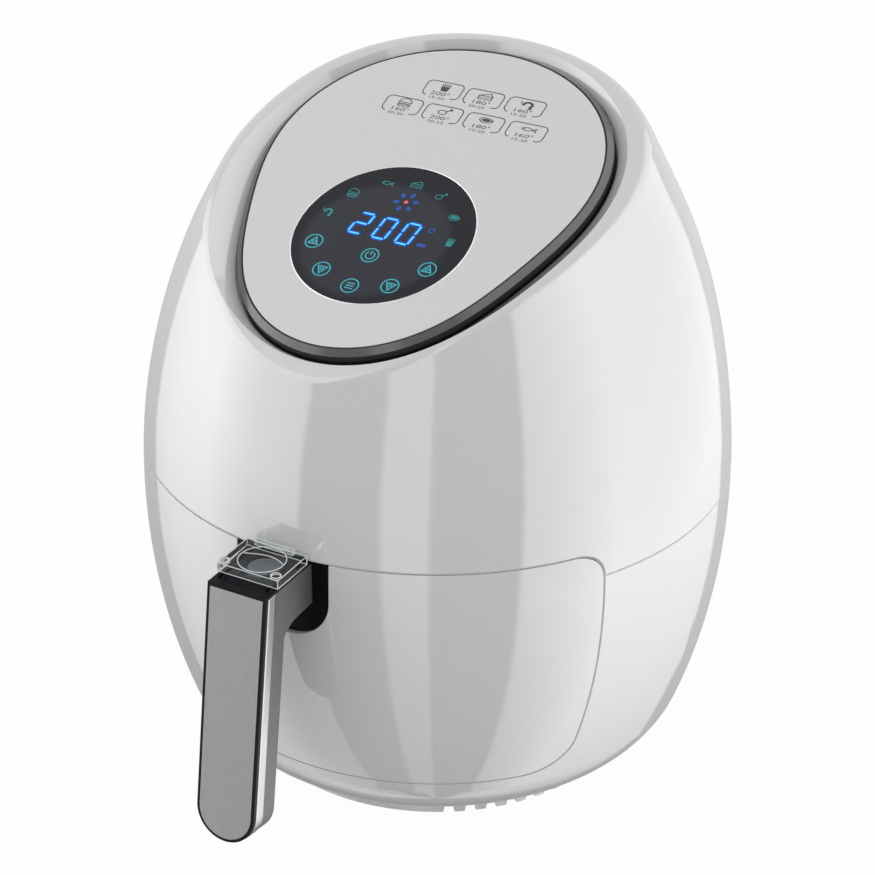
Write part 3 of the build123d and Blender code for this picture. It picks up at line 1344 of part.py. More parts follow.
# Dark grey body of the handle: the grip's back half and the neck, hollowed for button and bolt
neck_top = HANDLE_TOP_Z - HANDLE_TOP_THICKNESS
with BuildPart() as handle_body:
    add(grip_layer(0, -GRIP_DEPTH, BAND_BACK, neck_top))
    fillet(handle_body.faces().sort_by(Axis.Y)[-1].outer_wire().edges().sort_by(Axis.Z)[:-1], GRIP_ROUND)
    with BuildSketch(Plane.YZ.offset(-GRIP_HALF_WIDTH)):
        with BuildLine():
            under = Line(*NECK_UNDERSIDE[:2])
            curve = ThreePointArc(*NECK_UNDERSIDE[1:])
            Polyline(
                curve @ 1,
                (NECK_FRONT_Y[0], NECK_UNDERSIDE[-1][1]),
                (NECK_FRONT_Y[1], neck_top),
                (BOSS_FRONT_Y, neck_top),
                under @ 0,
            )
        make_face()
    extrude(amount=2 * GRIP_HALF_WIDTH)
    with BuildSketch(Plane.XY.offset(BOLT_BOTTOM_Z - BOLT_CLEARANCE)):
        with Locations((0, BOSS_FRONT_Y)):
            Rectangle(
                2 * (BOLT_HALF_WIDTH + BOLT_CLEARANCE),
                BOSS_FRONT_Y - BOLT_ROOM_Y,
                align=(Align.CENTER, Align.MAX),
            )
    extrude(amount=BUTTON_BOTTOM_Z - BOLT_BOTTOM_Z, mode=Mode.SUBTRACT)
    with BuildSketch(Plane.XY.offset(BOLT_TOP_Z)):
        with Locations((0, BUTTON_Y)):
            Circle(BUTTON_RADIUS + BOLT_CLEARANCE)
    extrude(amount=20, mode=Mode.SUBTRACT)
handle_body.part.label = "handle_body"
export_step(handle_body.part, "parts/handle_body.step")

# Bright band round the grip, black frame in front of it, and the satin plate set into the frame
with BuildPart() as handle_band:
    add(grip_layer(-BAND_PROUD, BAND_BACK, BAND_FRONT, neck_top))
handle_band.part.label = "handle_band"
export_step(handle_band.part, "parts/handle_band.step")

with BuildPart() as handle_frame:
    add(grip_layer(0, BAND_FRONT, 0, HANDLE_TOP_Z))
    add(
        grip_layer(PLATE_INSET - PLATE_GAP, -PLATE_RECESS, 5, HANDLE_TOP_Z - PLATE_INSET + PLATE_GAP),
        mode=Mode.SUBTRACT,
    )
handle_frame.part.label = "handle_frame"
export_step(handle_frame.part, "parts/handle_frame.step")

with BuildPart() as handle_plate:
    add(grip_layer(PLATE_INSET, -PLATE_RECESS, PLATE_PROUD, HANDLE_TOP_Z - PLATE_INSET))
handle_plate.part.label = "handle_plate"
export_step(handle_plate.part, "parts/handle_plate.step")

# Black top of the handle, with the button's hole and a slot for each foot of the sliding guard
with BuildPart() as handle_top:
    with BuildSketch(Plane.XY.offset(neck_top)):
        with Locations((0, BOSS_FRONT_Y)):
            Rectangle(2 * GRIP_HALF_WIDTH, 50, align=(Align.CENTER, Align.MAX))
        with Locations((0, BUTTON_Y)):
            Circle(BUTTON_RADIUS + BUTTON_GAP, mode=Mode.SUBTRACT)
        for side in (-1, 1):
            with Locations((side * GUARD_FOOT_X, GUARD_FOOT_BACK_Y + GUARD_FOOT_GAP)):
                Rectangle(
                    GUARD_FOOT_WIDTH + 2 * GUARD_FOOT_GAP,
                    GUARD_FOOT_LENGTH + GUARD_TRAVEL + 2 * GUARD_FOOT_GAP,
                    align=(Align.CENTER, Align.MAX),
                    mode=Mode.SUBTRACT,
                )
    extrude(amount=HANDLE_TOP_THICKNESS)
    split(bisect_by=GRIP.offset(BAND_FRONT), keep=Keep.BOTTOM)
handle_top.part.label = "handle_top"
export_step(handle_top.part, "parts/handle_top.step")

# Release button with a wedge under it, and the bolt whose ramp the wedge pushes forward
ramp_top = BUTTON_BOTTOM_Z - BOLT_TRAVEL - RAMP_CLEARANCE
ramp_top_y = RAMP_FOOT_Y - (ramp_top - BOLT_TOP_Z)
wedge_tip_z = ramp_top - WEDGE_OVERLAP
wedge_tip_y = RAMP_FOOT_Y - (wedge_tip_z - BOLT_TOP_Z - WEDGE_GAP)
wedge_root_y = wedge_tip_y - (BUTTON_BOTTOM_Z - wedge_tip_z)
with BuildPart() as release_button:
    with BuildSketch(Plane.XY.offset(BUTTON_BOTTOM_Z)):
        with Locations((0, BUTTON_Y)):
            Circle(BUTTON_RADIUS)
    extrude(amount=BUTTON_TOP_Z - BUTTON_BOTTOM_Z)
    fillet(release_button.edges().group_by(Axis.Z)[-1], BUTTON_ROUND)
    with BuildSketch(Plane.YZ.offset(-BOLT_HALF_WIDTH)):
        with BuildLine():
            Polyline(
                (wedge_tip_y + WEDGE_FLAT, BUTTON_BOTTOM_Z + 0.5),
                (wedge_tip_y + WEDGE_FLAT, wedge_tip_z),
                (wedge_tip_y, wedge_tip_z),
                (wedge_root_y, BUTTON_BOTTOM_Z),
                (wedge_root_y, BUTTON_BOTTOM_Z + 0.5),
                close=True,
            )
        make_face()
    extrude(amount=2 * BOLT_HALF_WIDTH)
release_button.part.label = "release_button"
export_step(release_button.part, "parts/release_button.step")

with BuildPart() as latch_bolt:
    with BuildSketch(Plane.YZ.offset(-BOLT_HALF_WIDTH)):
        with BuildLine():
            Polyline(
                (BOLT_TIP_Y, BOLT_BOTTOM_Z),
                (BOLT_TIP_Y, BOLT_TOP_Z),
                (RAMP_FOOT_Y, BOLT_TOP_Z),
                (ramp_top_y, ramp_top),
                (RAMP_FRONT_Y, ramp_top),
                (RAMP_FRONT_Y, BOLT_BOTTOM_Z),
                close=True,
            )
        make_face()
    extrude(amount=2 * BOLT_HALF_WIDTH)
latch_bolt.part.label = "latch_bolt"
export_step(latch_bolt.part, "parts/latch_bolt.step")

# Clear guard that slides forward off the button
guard_bottom = HANDLE_TOP_Z + GUARD_GAP
guard_top = guard_bottom + GUARD_HEIGHT
with BuildPart() as button_guard:
    with BuildSketch(Plane.XY.offset(guard_bottom)):
        with Locations((0, (GUARD_FRONT_Y + GUARD_BACK_Y) / 2)):
            RectangleRounded(2 * GUARD_HALF_WIDTH, GUARD_BACK_Y - GUARD_FRONT_Y, GUARD_CORNER)
    extrude(amount=GUARD_HEIGHT)
    with BuildSketch(Plane.XY.offset(guard_bottom)):
        with Locations((0, GUARD_FRONT_Y + GUARD_POST_RADIUS)):
            with GridLocations(2 * (GUARD_HALF_WIDTH - GUARD_POST_RADIUS), 0, 2, 1):
                Circle(GUARD_POST_RADIUS)
    extrude(amount=GUARD_HEIGHT + GUARD_POST_UP)
    with BuildSketch(Plane.XY.offset(guard_top)):
        with Locations((0, GUARD_BACK_Y - GUARD_RAIL_IN)):
            Rectangle(GUARD_RAIL_SIZE[0], GUARD_RAIL_SIZE[1])
    extrude(amount=GUARD_RAIL_SIZE[2])
    dimple_ball = (DIMPLE_RADIUS**2 + DIMPLE_DEPTH**2) / (2 * DIMPLE_DEPTH)
    with Locations((0, (GUARD_FRONT_Y + GUARD_BACK_Y) / 2, guard_top - DIMPLE_DEPTH + dimple_ball)):
        Sphere(dimple_ball, mode=Mode.SUBTRACT)
    with BuildSketch(Plane.XY.offset(guard_bottom - GUARD_FOOT_HEIGHT)):
        for side in (-1, 1):
            with Locations((side * GUARD_FOOT_X, GUARD_FOOT_BACK_Y)):
                Rectangle(GUARD_FOOT_WIDTH, GUARD_FOOT_LENGTH, align=(Align.CENTER, Align.MAX))
    extrude(amount=GUARD_FOOT_HEIGHT)
button_guard.part.label = "button_guard"
export_step(button_guard.part, "parts/button_guard.step")
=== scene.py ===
# %% [markdown]
# # Dressing a hot-air fryer
# The solids of this appliance come from CAD: shells, drawer, handle, fan and heater are all there, in
# metres, and nothing is moved here. Blender's share is what a drawing can't give: the gloss of the white
# shell, the print on the control panel, the lit display, grey lines of painted shade in the seams, painted
# highlights on the clear guard, and a studio to see them in.
# We load the fixed model first, with a small helper that gives the box of one part.

# %% Load the solids
import math

import bmesh
import bpy
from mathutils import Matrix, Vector
from mathutils.bvhtree import BVHTree


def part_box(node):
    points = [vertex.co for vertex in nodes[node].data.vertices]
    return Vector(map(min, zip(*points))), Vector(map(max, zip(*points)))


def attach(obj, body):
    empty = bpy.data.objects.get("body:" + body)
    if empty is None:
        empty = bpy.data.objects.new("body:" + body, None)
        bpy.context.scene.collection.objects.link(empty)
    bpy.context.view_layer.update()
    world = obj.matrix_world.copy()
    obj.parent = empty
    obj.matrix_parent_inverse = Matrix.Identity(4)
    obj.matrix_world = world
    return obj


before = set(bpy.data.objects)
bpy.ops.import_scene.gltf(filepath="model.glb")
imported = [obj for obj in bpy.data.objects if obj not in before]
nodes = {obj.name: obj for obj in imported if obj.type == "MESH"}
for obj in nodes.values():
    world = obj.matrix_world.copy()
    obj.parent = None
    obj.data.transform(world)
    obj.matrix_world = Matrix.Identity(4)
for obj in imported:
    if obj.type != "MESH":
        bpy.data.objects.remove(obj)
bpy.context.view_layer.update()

# %% [markdown]
# ## The camera first
# A product photo of this kind is taken from a little above and a little to the right, with a long lens so
# that the round body isn't stretched. We put the camera in first: every later choice is judged through it.
# The place is given as a direction and a distance from a point in the middle of the body, because that is
# how one thinks at a tripod. Blender could aim it with a constraint, but a plain rotation is easier to read.

# %% Camera
CAMERA_AZIMUTH = 29.53
CAMERA_ELEVATION = 28.60
CAMERA_DISTANCE = 1.2277
CAMERA_TARGET = Vector((0, 0, 0.1481))
SENSOR_WIDTH = 36
LENS_LENGTH = 108


def direction(azimuth, elevation):
    """The way from the object towards a compass angle, counted from the front, and a height angle."""
    turn = math.radians(azimuth)
    rise = math.radians(elevation)
    return Vector((math.sin(turn) * math.cos(rise), -math.cos(turn) * math.cos(rise), math.sin(rise)))


def aim(thing, place, target):
    """Puts a camera or lamp at a place and turns it to look at a target."""
    thing.location = place
    thing.rotation_euler = (target - place).to_track_quat("-Z", "Y").to_euler()


scene = bpy.context.scene
scene.view_settings.view_transform = "Standard"
lens = bpy.data.cameras.new("camera")
lens.sensor_width = SENSOR_WIDTH
lens.lens = LENS_LENGTH
camera = bpy.data.objects.new("camera", lens)
scene.collection.objects.link(camera)
aim(camera, CAMERA_TARGET + CAMERA_DISTANCE * direction(CAMERA_AZIMUTH, CAMERA_ELEVATION), CAMERA_TARGET)
scene.camera = camera
print("camera at", tuple(round(value, 3) for value in camera.location))

# %% [markdown]
# ## What a finish is made of
# No real surface has one colour and one gloss. A moulded wall has a faint unevenness, a satin plate has a
# grain, rubber has a bloom. So every finish here starts from one shader with its plain numbers set on the
# shader itself, and small noise textures then vary colour, gloss or height at the size the real stuff shows.
# The solids sit at the origin with their place in the mesh, so object coordinates are simply metres: a
# noise with features of half a millimetre is asked for as 0.0005. Most of a noise lies in a middle span of
# its values, so the two ends of a change are set there.

# %% Shader and colour
NOISE_SPAN = (0.3, 0.7)
NOISE_DETAIL = 3
EVEN = (1, 1, 1)


def new_finish(name, colour, roughness, constants=None):
    """A material with one Principled shader, whose plain numbers are set on its sockets."""
    material = bpy.data.materials.new(name)
    material.use_nodes = True
    shader = material.node_tree.nodes["Principled BSDF"]
    shader.inputs["Base Color"].default_value = (*colour, 1)
    shader.inputs["Roughness"].default_value = roughness
    for socket, value in (constants or {}).items():
        shader.inputs[socket].default_value = value
    return material


def cloud(material, size, stretch=EVEN):
    """A noise texture whose features have this size in metres, drawn out along the axes if asked."""
    tree = material.node_tree
    place = tree.nodes.new("ShaderNodeTexCoord")
    mapping = tree.nodes.new("ShaderNodeMapping")
    mapping.inputs["Scale"].default_value = stretch
    noise = tree.nodes.new("ShaderNodeTexNoise")
    noise.inputs["Scale"].default_value = 1 / size
    noise.inputs["Detail"].default_value = NOISE_DETAIL
    tree.links.new(place.outputs["Object"], mapping.inputs["Vector"])
    tree.links.new(mapping.outputs["Vector"], noise.inputs["Vector"])
    return noise.outputs["Fac"]


def mottle(material, size, dark, light, stretch=EVEN, socket="Base Color", span=NOISE_SPAN):
    """Lets a colour wander between two tones."""
    tree = material.node_tree
    ramp = tree.nodes.new("ShaderNodeValToRGB")
    for stop, position, tone in zip(ramp.color_ramp.elements, span, (dark, light)):
        stop.position = position
        stop.color = (*tone, 1)
    tree.links.new(cloud(material, size, stretch), ramp.inputs["Fac"])
    tree.links.new(ramp.outputs["Color"], tree.nodes["Principled BSDF"].inputs[socket])


finishes = {}
print("shader and colour helpers ready")

# %% [markdown]
# ## Gloss, grain and edges
# A gloss that varies by a hair keeps a mirror image from looking computed, and a fine relief breaks up the
# highlight, as the grain of a mould does. The last helper is for edges. Solids from CAD end in sharp corners,
# but a moulded or pressed edge has a small radius that catches the light. One could bevel the mesh. A bevel
# node only bends the shading there, so the solid stays as it was drawn.

# %% Gloss, relief and edges
ROUND_SAMPLES = 6


def vary_gloss(material, size, low, high, stretch=EVEN):
    """Lets the roughness wander between two values."""
    tree = material.node_tree
    spread = tree.nodes.new("ShaderNodeMapRange")
    spread.inputs["From Min"].default_value = NOISE_SPAN[0]
    spread.inputs["From Max"].default_value = NOISE_SPAN[1]
    spread.inputs["To Min"].default_value = low
    spread.inputs["To Max"].default_value = high
    tree.links.new(cloud(material, size, stretch), spread.inputs["Value"])
    tree.links.new(spread.outputs["Result"], tree.nodes["Principled BSDF"].inputs["Roughness"])


def relief(material, size, depth, strength=1.0):
    """Raises a fine texture of this size and depth, both in metres."""
    tree = material.node_tree
    bump = tree.nodes.new("ShaderNodeBump")
    bump.inputs["Distance"].default_value = depth
    bump.inputs["Strength"].default_value = strength
    tree.links.new(cloud(material, size), bump.inputs["Height"])
    tree.links.new(bump.outputs["Normal"], tree.nodes["Principled BSDF"].inputs["Normal"])


def round_edges(material, radius):
    """Lets the edges catch the light as if they were rounded by this radius in metres."""
    tree = material.node_tree
    rounding = tree.nodes.new("ShaderNodeBevel")
    rounding.samples = ROUND_SAMPLES
    rounding.inputs["Radius"].default_value = radius
    normal = tree.nodes["Principled BSDF"].inputs["Normal"]
    if normal.is_linked:
        normal = normal.links[0].from_node.inputs["Normal"]
    tree.links.new(rounding.outputs["Normal"], normal)


print("gloss, relief and edge helpers ready")

# %% [markdown]
# ## White shell and base
# The body is injection-moulded in a hard white plastic under a clear lacquer, so it mirrors twice: in the
# lacquer's coat and in the plastic below. Up close such a wall isn't a perfect mirror: it has a very faint
# waviness from the mould, which bends the reflections a little, and its gloss varies by a hair. The skirt
# under it is plain white plastic in a cooler tone, and the feet are soft matt rubber. All three only need
# noise: the shape itself is already in the solids.

# %% White shell, base and feet
LACQUER = {"Coat Weight": 1.0, "Coat Roughness": 0.01}
shell = new_finish("gloss_white_shell", (0.80, 0.81, 0.805), 0.05, LACQUER)
mottle(shell, 0.09, (0.795, 0.805, 0.80), (0.81, 0.818, 0.813))
vary_gloss(shell, 0.03, 0.04, 0.06)
relief(shell, 0.02, 0.0002, 0.03)
round_edges(shell, 0.0005)
finishes["white_shell"] = shell

skirt = new_finish("skirt_white", (0.90, 0.91, 0.915), 0.22)
mottle(skirt, 0.05, (0.89, 0.90, 0.905), (0.91, 0.92, 0.925))
vary_gloss(skirt, 0.004, 0.19, 0.26)
finishes["base_grey"] = skirt

rubber = new_finish("foot_rubber", (0.03, 0.03, 0.032), 0.75)
mottle(rubber, 0.003, (0.026, 0.026, 0.028), (0.042, 0.042, 0.044))
relief(rubber, 0.0008, 0.00004)
finishes["foot_rubber"] = rubber
print("shell finishes:", list(finishes))

# %% [markdown]
# ## Panel and frame
# The sheet on the lid is painted in a light silver: not a mirror, but a paint with fine flakes that catches
# the light evenly. We mix a little metal into the shader and let a very fine noise stand for the flakes.
# The frame round it is black and shiny.

# %% Panel sheet and frame
silver = new_finish("panel_silver_paint", (0.82, 0.83, 0.825), 0.36, {"Metallic": 0.2})
mottle(silver, 0.0006, (0.80, 0.81, 0.805), (0.84, 0.85, 0.845))
vary_gloss(silver, 0.0009, 0.32, 0.42)
finishes["panel_silver"] = silver

black = new_finish("gloss_black", (0.008, 0.008, 0.009), 0.16)
mottle(black, 0.02, (0.007, 0.007, 0.008), (0.011, 0.011, 0.012))
vary_gloss(black, 0.004, 0.13, 0.2)
finishes["panel_black"] = black
print("panel finishes:", silver.name, black.name)

# %% [markdown]
# ## A painted sheen on the bevel
# The frame's narrow bevel shows a dark grey sheen where it mirrors the light, and this sheen is painted into
# its colour. It is one solid with the black wall below, so the painted tone has to know where it belongs: it
# comes in wherever the surface leans like the bevel, which its own normal tells. Wall and top lean less or
# more, and stay black.

# %% Bevel of the frame
PANEL_TILT = math.radians(23.3)
PANEL_HEIGHT = 0.2912
BEVEL_LEAN = (0.5, 0.95)
# painted sheen: this grey stands in for the light that the bevel mirrors
BEVEL_PAINTED_SHEEN = (0.13, 0.132, 0.135)


def second_tone(material, share, tone):
    """Mixes another tone into the colour, by a share that a node's output gives."""
    tree = material.node_tree
    base_colour = tree.nodes["Principled BSDF"].inputs["Base Color"]
    tones = tree.nodes.new("ShaderNodeMix")
    tones.data_type = "RGBA"
    tones.inputs["B"].default_value = (*tone, 1)
    tree.links.new(base_colour.links[0].from_socket, tones.inputs["A"])
    tree.links.new(share, tones.inputs["Factor"])
    tree.links.new(tones.outputs["Result"], base_colour)


# the painted sheen is mixed in wherever the surface leans like the bevel
tree = black.node_tree
surface = tree.nodes.new("ShaderNodeNewGeometry")
lean = tree.nodes.new("ShaderNodeVectorMath")
lean.operation = "DOT_PRODUCT"
lean.inputs[1].default_value = (0, -math.sin(PANEL_TILT), math.cos(PANEL_TILT))
bevel = tree.nodes.new("ShaderNodeValToRGB")
bevel.color_ramp.interpolation = "CONSTANT"
bevel.color_ramp.elements[0].color = (0, 0, 0, 1)
bevel.color_ramp.elements[1].position = BEVEL_LEAN[0]
bevel.color_ramp.elements[1].color = (1, 1, 1, 1)
bevel.color_ramp.elements.new(BEVEL_LEAN[1]).color = (0, 0, 0, 1)
tree.links.new(surface.outputs["Normal"], lean.inputs[0])
tree.links.new(lean.outputs["Value"], bevel.inputs["Fac"])
second_tone(black, bevel.outputs["Color"], BEVEL_PAINTED_SHEEN)
print("bevel sheen where the lean is", BEVEL_LEAN)

# %% [markdown]
# ## The display window
# The window is tinted plastic, nearly black, with a slight blue, and smooth enough to show the ceiling of the
# studio. Its middle is painted a little lighter, a painted glow that stands in for the pale lamp board
# shining through, and its rim stays dark. So the darker rim tone comes in by the distance from the window's
# middle, measured on the tilted panel.

# %% Display window
WINDOW_MIDDLE = Vector((-0.002, -0.056, 0))
PAINTED_GLOW_REACH = (0.031, 0.035)
WINDOW_RIM = (0.003, 0.004, 0.011)

window = new_finish("tinted_window", (0.024, 0.028, 0.043), 0.06)
mottle(window, 0.05, (0.022, 0.026, 0.04), (0.027, 0.031, 0.047))
vary_gloss(window, 0.02, 0.05, 0.08)
finishes["display_dark"] = window

# painted glow: lighter inside this reach, as if the lamp board shone through, and darker at the rim
tree = window.node_tree
place = tree.nodes.new("ShaderNodeTexCoord")
on_panel = tree.nodes.new("ShaderNodeMapping")
on_panel.vector_type = "TEXTURE"
on_panel.inputs["Location"].default_value = (0, 0, PANEL_HEIGHT)
on_panel.inputs["Rotation"].default_value = (PANEL_TILT, 0, 0)
from_middle = tree.nodes.new("ShaderNodeVectorMath")
from_middle.operation = "DISTANCE"
from_middle.inputs[1].default_value = WINDOW_MIDDLE
reach = tree.nodes.new("ShaderNodeMapRange")
reach.inputs["From Min"].default_value = PAINTED_GLOW_REACH[0]
reach.inputs["From Max"].default_value = PAINTED_GLOW_REACH[1]
tree.links.new(place.outputs["Object"], on_panel.inputs["Vector"])
tree.links.new(on_panel.outputs["Vector"], from_middle.inputs[0])
tree.links.new(from_middle.outputs["Value"], reach.inputs["Value"])
second_tone(window, reach.outputs["Result"], WINDOW_RIM)
print("window finish:", window.name)

# %% [markdown]
# ## Handle
# Six finishes meet in the handle: a satin grey plate in a black frame, a bright band round it, a dark grey
# moulding behind, and on top a grey button under a clear guard. The plate and the band are metal-coated
# plastic, so they are metallic shaders that differ mostly in roughness. A fine grain drawn out along the grip
# breaks up the plate's reflection.

# %% Grip finishes
ALONG_GRIP = (1, 1, 0.06)
plate = new_finish("satin_plate", (0.25, 0.256, 0.262), 0.42, {"Metallic": 0.85})
mottle(plate, 0.0005, (0.24, 0.246, 0.252), (0.265, 0.271, 0.277), ALONG_GRIP)
vary_gloss(plate, 0.0008, 0.38, 0.47, ALONG_GRIP)
finishes["handle_satin"] = plate

band = new_finish("bright_band", (0.40, 0.405, 0.415), 0.16, {"Metallic": 1.0})
mottle(band, 0.01, (0.38, 0.385, 0.395), (0.42, 0.425, 0.435), ALONG_GRIP)
vary_gloss(band, 0.003, 0.13, 0.2)
round_edges(band, 0.0012)
finishes["handle_chrome"] = band

grip = new_finish("grip_grey", (0.11, 0.112, 0.117), 0.38)
mottle(grip, 0.004, (0.103, 0.105, 0.11), (0.119, 0.121, 0.126))
relief(grip, 0.0007, 0.00002)
finishes["handle_dark"] = grip

handle_black = new_finish("handle_black", (0.004, 0.004, 0.007), 0.3, {"Specular IOR Level": 0.1})
mottle(handle_black, 0.004, (0.003, 0.003, 0.006), (0.006, 0.006, 0.009))
vary_gloss(handle_black, 0.003, 0.26, 0.36)
round_edges(handle_black, 0.0004)
print("grip finishes:", plate.name, band.name, grip.name, handle_black.name)

# %% [markdown]
# ## Button and clear guard
# The guard is a hollow hood of clear plastic. Light goes nearly straight through its thin walls, which a low
# index of refraction on the block stands for, and a coat with the index of acrylic gives its mirror.

# %% Button and guard finishes
CLEAR = {"Transmission Weight": 1.0, "IOR": 1.08}
POLISHED = {"Coat Weight": 0.4, "Coat Roughness": 0.02, "Coat IOR": 1.49}

button = new_finish("button_grey", (0.17, 0.173, 0.18), 0.34)
mottle(button, 0.003, (0.158, 0.161, 0.168), (0.184, 0.187, 0.194))
vary_gloss(button, 0.002, 0.3, 0.4)
finishes["button_grey"] = button

clear = new_finish("clear_guard", (0.74, 0.78, 0.80), 0.03, {**CLEAR, **POLISHED})
vary_gloss(clear, 0.006, 0.015, 0.05)
finishes["guard_clear"] = clear
print("guard finishes:", button.name, clear.name)

# %% [markdown]
# ## Metals inside
# Behind the drawer there is sheet steel, a tube heater that has been hot before, fans of pressed aluminium,
# and a pan and basket with a dark non-stick coat. Each metal gets its own colour and roughness. Rolled sheet
# has a grain in one direction, a used heater is mottled brown and grey, and the coat has tiny pale flecks.

# %% Metal finishes
ROLLED = (0.05, 1, 1)
liner = new_finish("liner_steel", (0.55, 0.55, 0.54), 0.34, {"Metallic": 1.0})
mottle(liner, 0.002, (0.51, 0.51, 0.50), (0.59, 0.59, 0.58), ROLLED)
vary_gloss(liner, 0.001, 0.28, 0.42, ROLLED)
finishes["liner_steel"] = liner

bright = new_finish("bright_steel", (0.64, 0.64, 0.65), 0.24, {"Metallic": 1.0})
mottle(bright, 0.002, (0.60, 0.60, 0.61), (0.68, 0.68, 0.69))
vary_gloss(bright, 0.001, 0.18, 0.32)
finishes["bright_steel"] = bright

heater = new_finish("heater_steel", (0.20, 0.18, 0.165), 0.5, {"Metallic": 0.9})
mottle(heater, 0.006, (0.14, 0.12, 0.11), (0.27, 0.25, 0.24))
vary_gloss(heater, 0.003, 0.42, 0.6)
finishes["element_steel"] = heater

fan_metal = new_finish("pressed_aluminium", (0.74, 0.745, 0.75), 0.36, {"Metallic": 1.0})
mottle(fan_metal, 0.003, (0.70, 0.705, 0.71), (0.78, 0.785, 0.79))
vary_gloss(fan_metal, 0.002, 0.3, 0.45)
finishes["fan_aluminium"] = fan_metal

coat = new_finish("nonstick_coat", (0.022, 0.022, 0.024), 0.42)
mottle(coat, 0.0007, (0.016, 0.016, 0.018), (0.05, 0.05, 0.053))
vary_gloss(coat, 0.002, 0.36, 0.5)
finishes["nonstick"] = coat
print("metal finishes:", liner.name, bright.name, heater.name, fan_metal.name, coat.name)

# %% [markdown]
# ## Plain plastics and boards
# The rest is what one finds on the bench: dark mouldings with a spark-eroded grain, pale posts, dull inner
# frames that stand the heat, green circuit boards and dark components. They are seldom seen, but a part that
# is opened in an exploded view should hold up there too.

# %% Plastics and boards
MOULD_DARKER = 0.92
MOULD_LIGHTER = 1.1
MOULD_CLOUD = 0.006


def moulding(slot, tone, roughness, grain_size, grain_depth):
    """A moulded plastic in one tone, with a grain of this size."""
    low = tuple(value * MOULD_DARKER for value in tone)
    high = tuple(min(1, value * MOULD_LIGHTER) for value in tone)
    material = new_finish(slot + "_moulding", tone, roughness)
    mottle(material, MOULD_CLOUD, low, high)
    relief(material, grain_size, grain_depth)
    finishes[slot] = material


moulding("dark_plastic", (0.02, 0.021, 0.024), 0.42, 0.0006, 0.00002)
moulding("post_plastic", (0.62, 0.61, 0.57), 0.45, 0.0008, 0.00002)
moulding("inner_plastic", (0.60, 0.60, 0.595), 0.55, 0.0008, 0.00003)
moulding("lamp_dark", (0.045, 0.045, 0.05), 0.4, 0.0008, 0.00002)
moulding("board_green", (0.02, 0.13, 0.06), 0.32, 0.0015, 0.00002)
print("moulded finishes:", len(finishes), "finishes in all")

# %% [markdown]
# ## Giving each solid its finish
# Each solid came in with a slot that is named for what it is made of. Swapping the slot's material is all
# that is needed, and the mesh stays as it is. A name that has no finish would show at once as a missing key.
# The black pieces of the handle then get a duller black than the lid's frame, because hands have dulled them.

# %% Assign the finishes
for node in nodes.values():
    for slot in node.material_slots:
        slot.material = finishes[slot.material.name.split(".")[0]]
for name in ("handle_top", "handle_frame", "handle_root"):
    nodes[name].material_slots[0].material = handle_black
print("finished solids:", len(nodes))

# %% [markdown]
# ## A pen for flat graphics
# The print on the panel and the signs on the display are thin layers of ink or light. One could paint them
# as a picture, but a drawing made of real little faces stays sharp at any distance. So we make a pen: a
# polyline with a width becomes a row of quads, and a filled shape becomes one face.

# %% Pen
MITRE_LIMIT = 0.4
RING_STEPS = 32
DOT_STEPS = 20


def arc(x, y, radius, start, end, steps):
    """Points on an arc, with angles in degrees, counted from the right and against the clock."""
    angles = [math.radians(start + (end - start) * step / steps) for step in range(steps + 1)]
    return [(x + radius * math.cos(angle), y + radius * math.sin(angle)) for angle in angles]


def circle(x, y, radius, steps):
    """Points on a full circle, each one once."""
    return arc(x, y, radius, 0, 360, steps)[:-1]


def stroke(points, width, closed=False):
    """A drawn line as flat quads, with mitred corners."""
    left = []
    right = []
    count = len(points)
    for index, point in enumerate(points):
        here = Vector(point)
        before = Vector(points[index - 1]) if closed or index else here
        after = Vector(points[(index + 1) % count]) if closed or index < count - 1 else here
        way_in = (here - before).normalized()
        way_out = (after - here).normalized()
        along = (way_in + way_out).normalized()
        across = Vector((-along.y, along.x))
        flow = way_out if way_out.length else way_in
        spread = width / 2 / max(MITRE_LIMIT, along.dot(flow))
        left.append(here + across * spread)
        right.append(here - across * spread)
    steps = range(count if closed else count - 1)
    return [[left[step], right[step], right[(step + 1) % count], left[(step + 1) % count]] for step in steps]


def ring(x, y, radius, width):
    """A drawn circle."""
    return stroke(circle(x, y, radius, RING_STEPS), width, closed=True)


def dot(x, y, radius):
    """A filled circle."""
    return [circle(x, y, radius, DOT_STEPS)]


print("pen ready")

# %% [markdown]
# ## From drawing to panel
# All graphics are drawn in millimetres on a flat page. The finished mesh is then laid on the tilted panel in
# one go by its own place and turn, a few hundredths of a millimetre above what it is printed on. It rides on
# the housing, as the panel does.

# %% Laying shapes on the panel
PER_METRE = 1000


def placed(shapes, x, y, scale=1, turn=0.0):
    """The same shapes scaled, turned and moved."""
    cosine = math.cos(math.radians(turn)) * scale
    sine = math.sin(math.radians(turn)) * scale
    return [
        [(x + cosine * px - sine * py, y + sine * px + cosine * py) for px, py in shape] for shape in shapes
    ]


def set_on_panel(piece):
    """Gives a piece that is drawn flat the panel's place and slope."""
    piece.location = (0, 0, PANEL_HEIGHT)
    piece.rotation_euler = (PANEL_TILT, 0, 0)
    scene.collection.objects.link(piece)


def lay_on_panel(name, shapes, material, lift):
    """Makes one flat mesh of all the shapes, lifted off the panel's face by a fraction of a millimetre."""
    mesh = bpy.data.meshes.new(name)
    drawing = bmesh.new()
    for shape in shapes:
        corners = [(x / PER_METRE, y / PER_METRE, lift / PER_METRE) for x, y in shape]
        drawing.faces.new([drawing.verts.new(corner) for corner in corners])
    bmesh.ops.recalc_face_normals(drawing, faces=drawing.faces)
    for face in drawing.faces:
        if face.normal.z < 0:
            face.normal_flip()
    drawing.to_mesh(mesh)
    drawing.free()
    mesh.materials.append(material)
    piece = bpy.data.objects.new(name, mesh)
    set_on_panel(piece)
    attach(piece, "housing")
    return piece


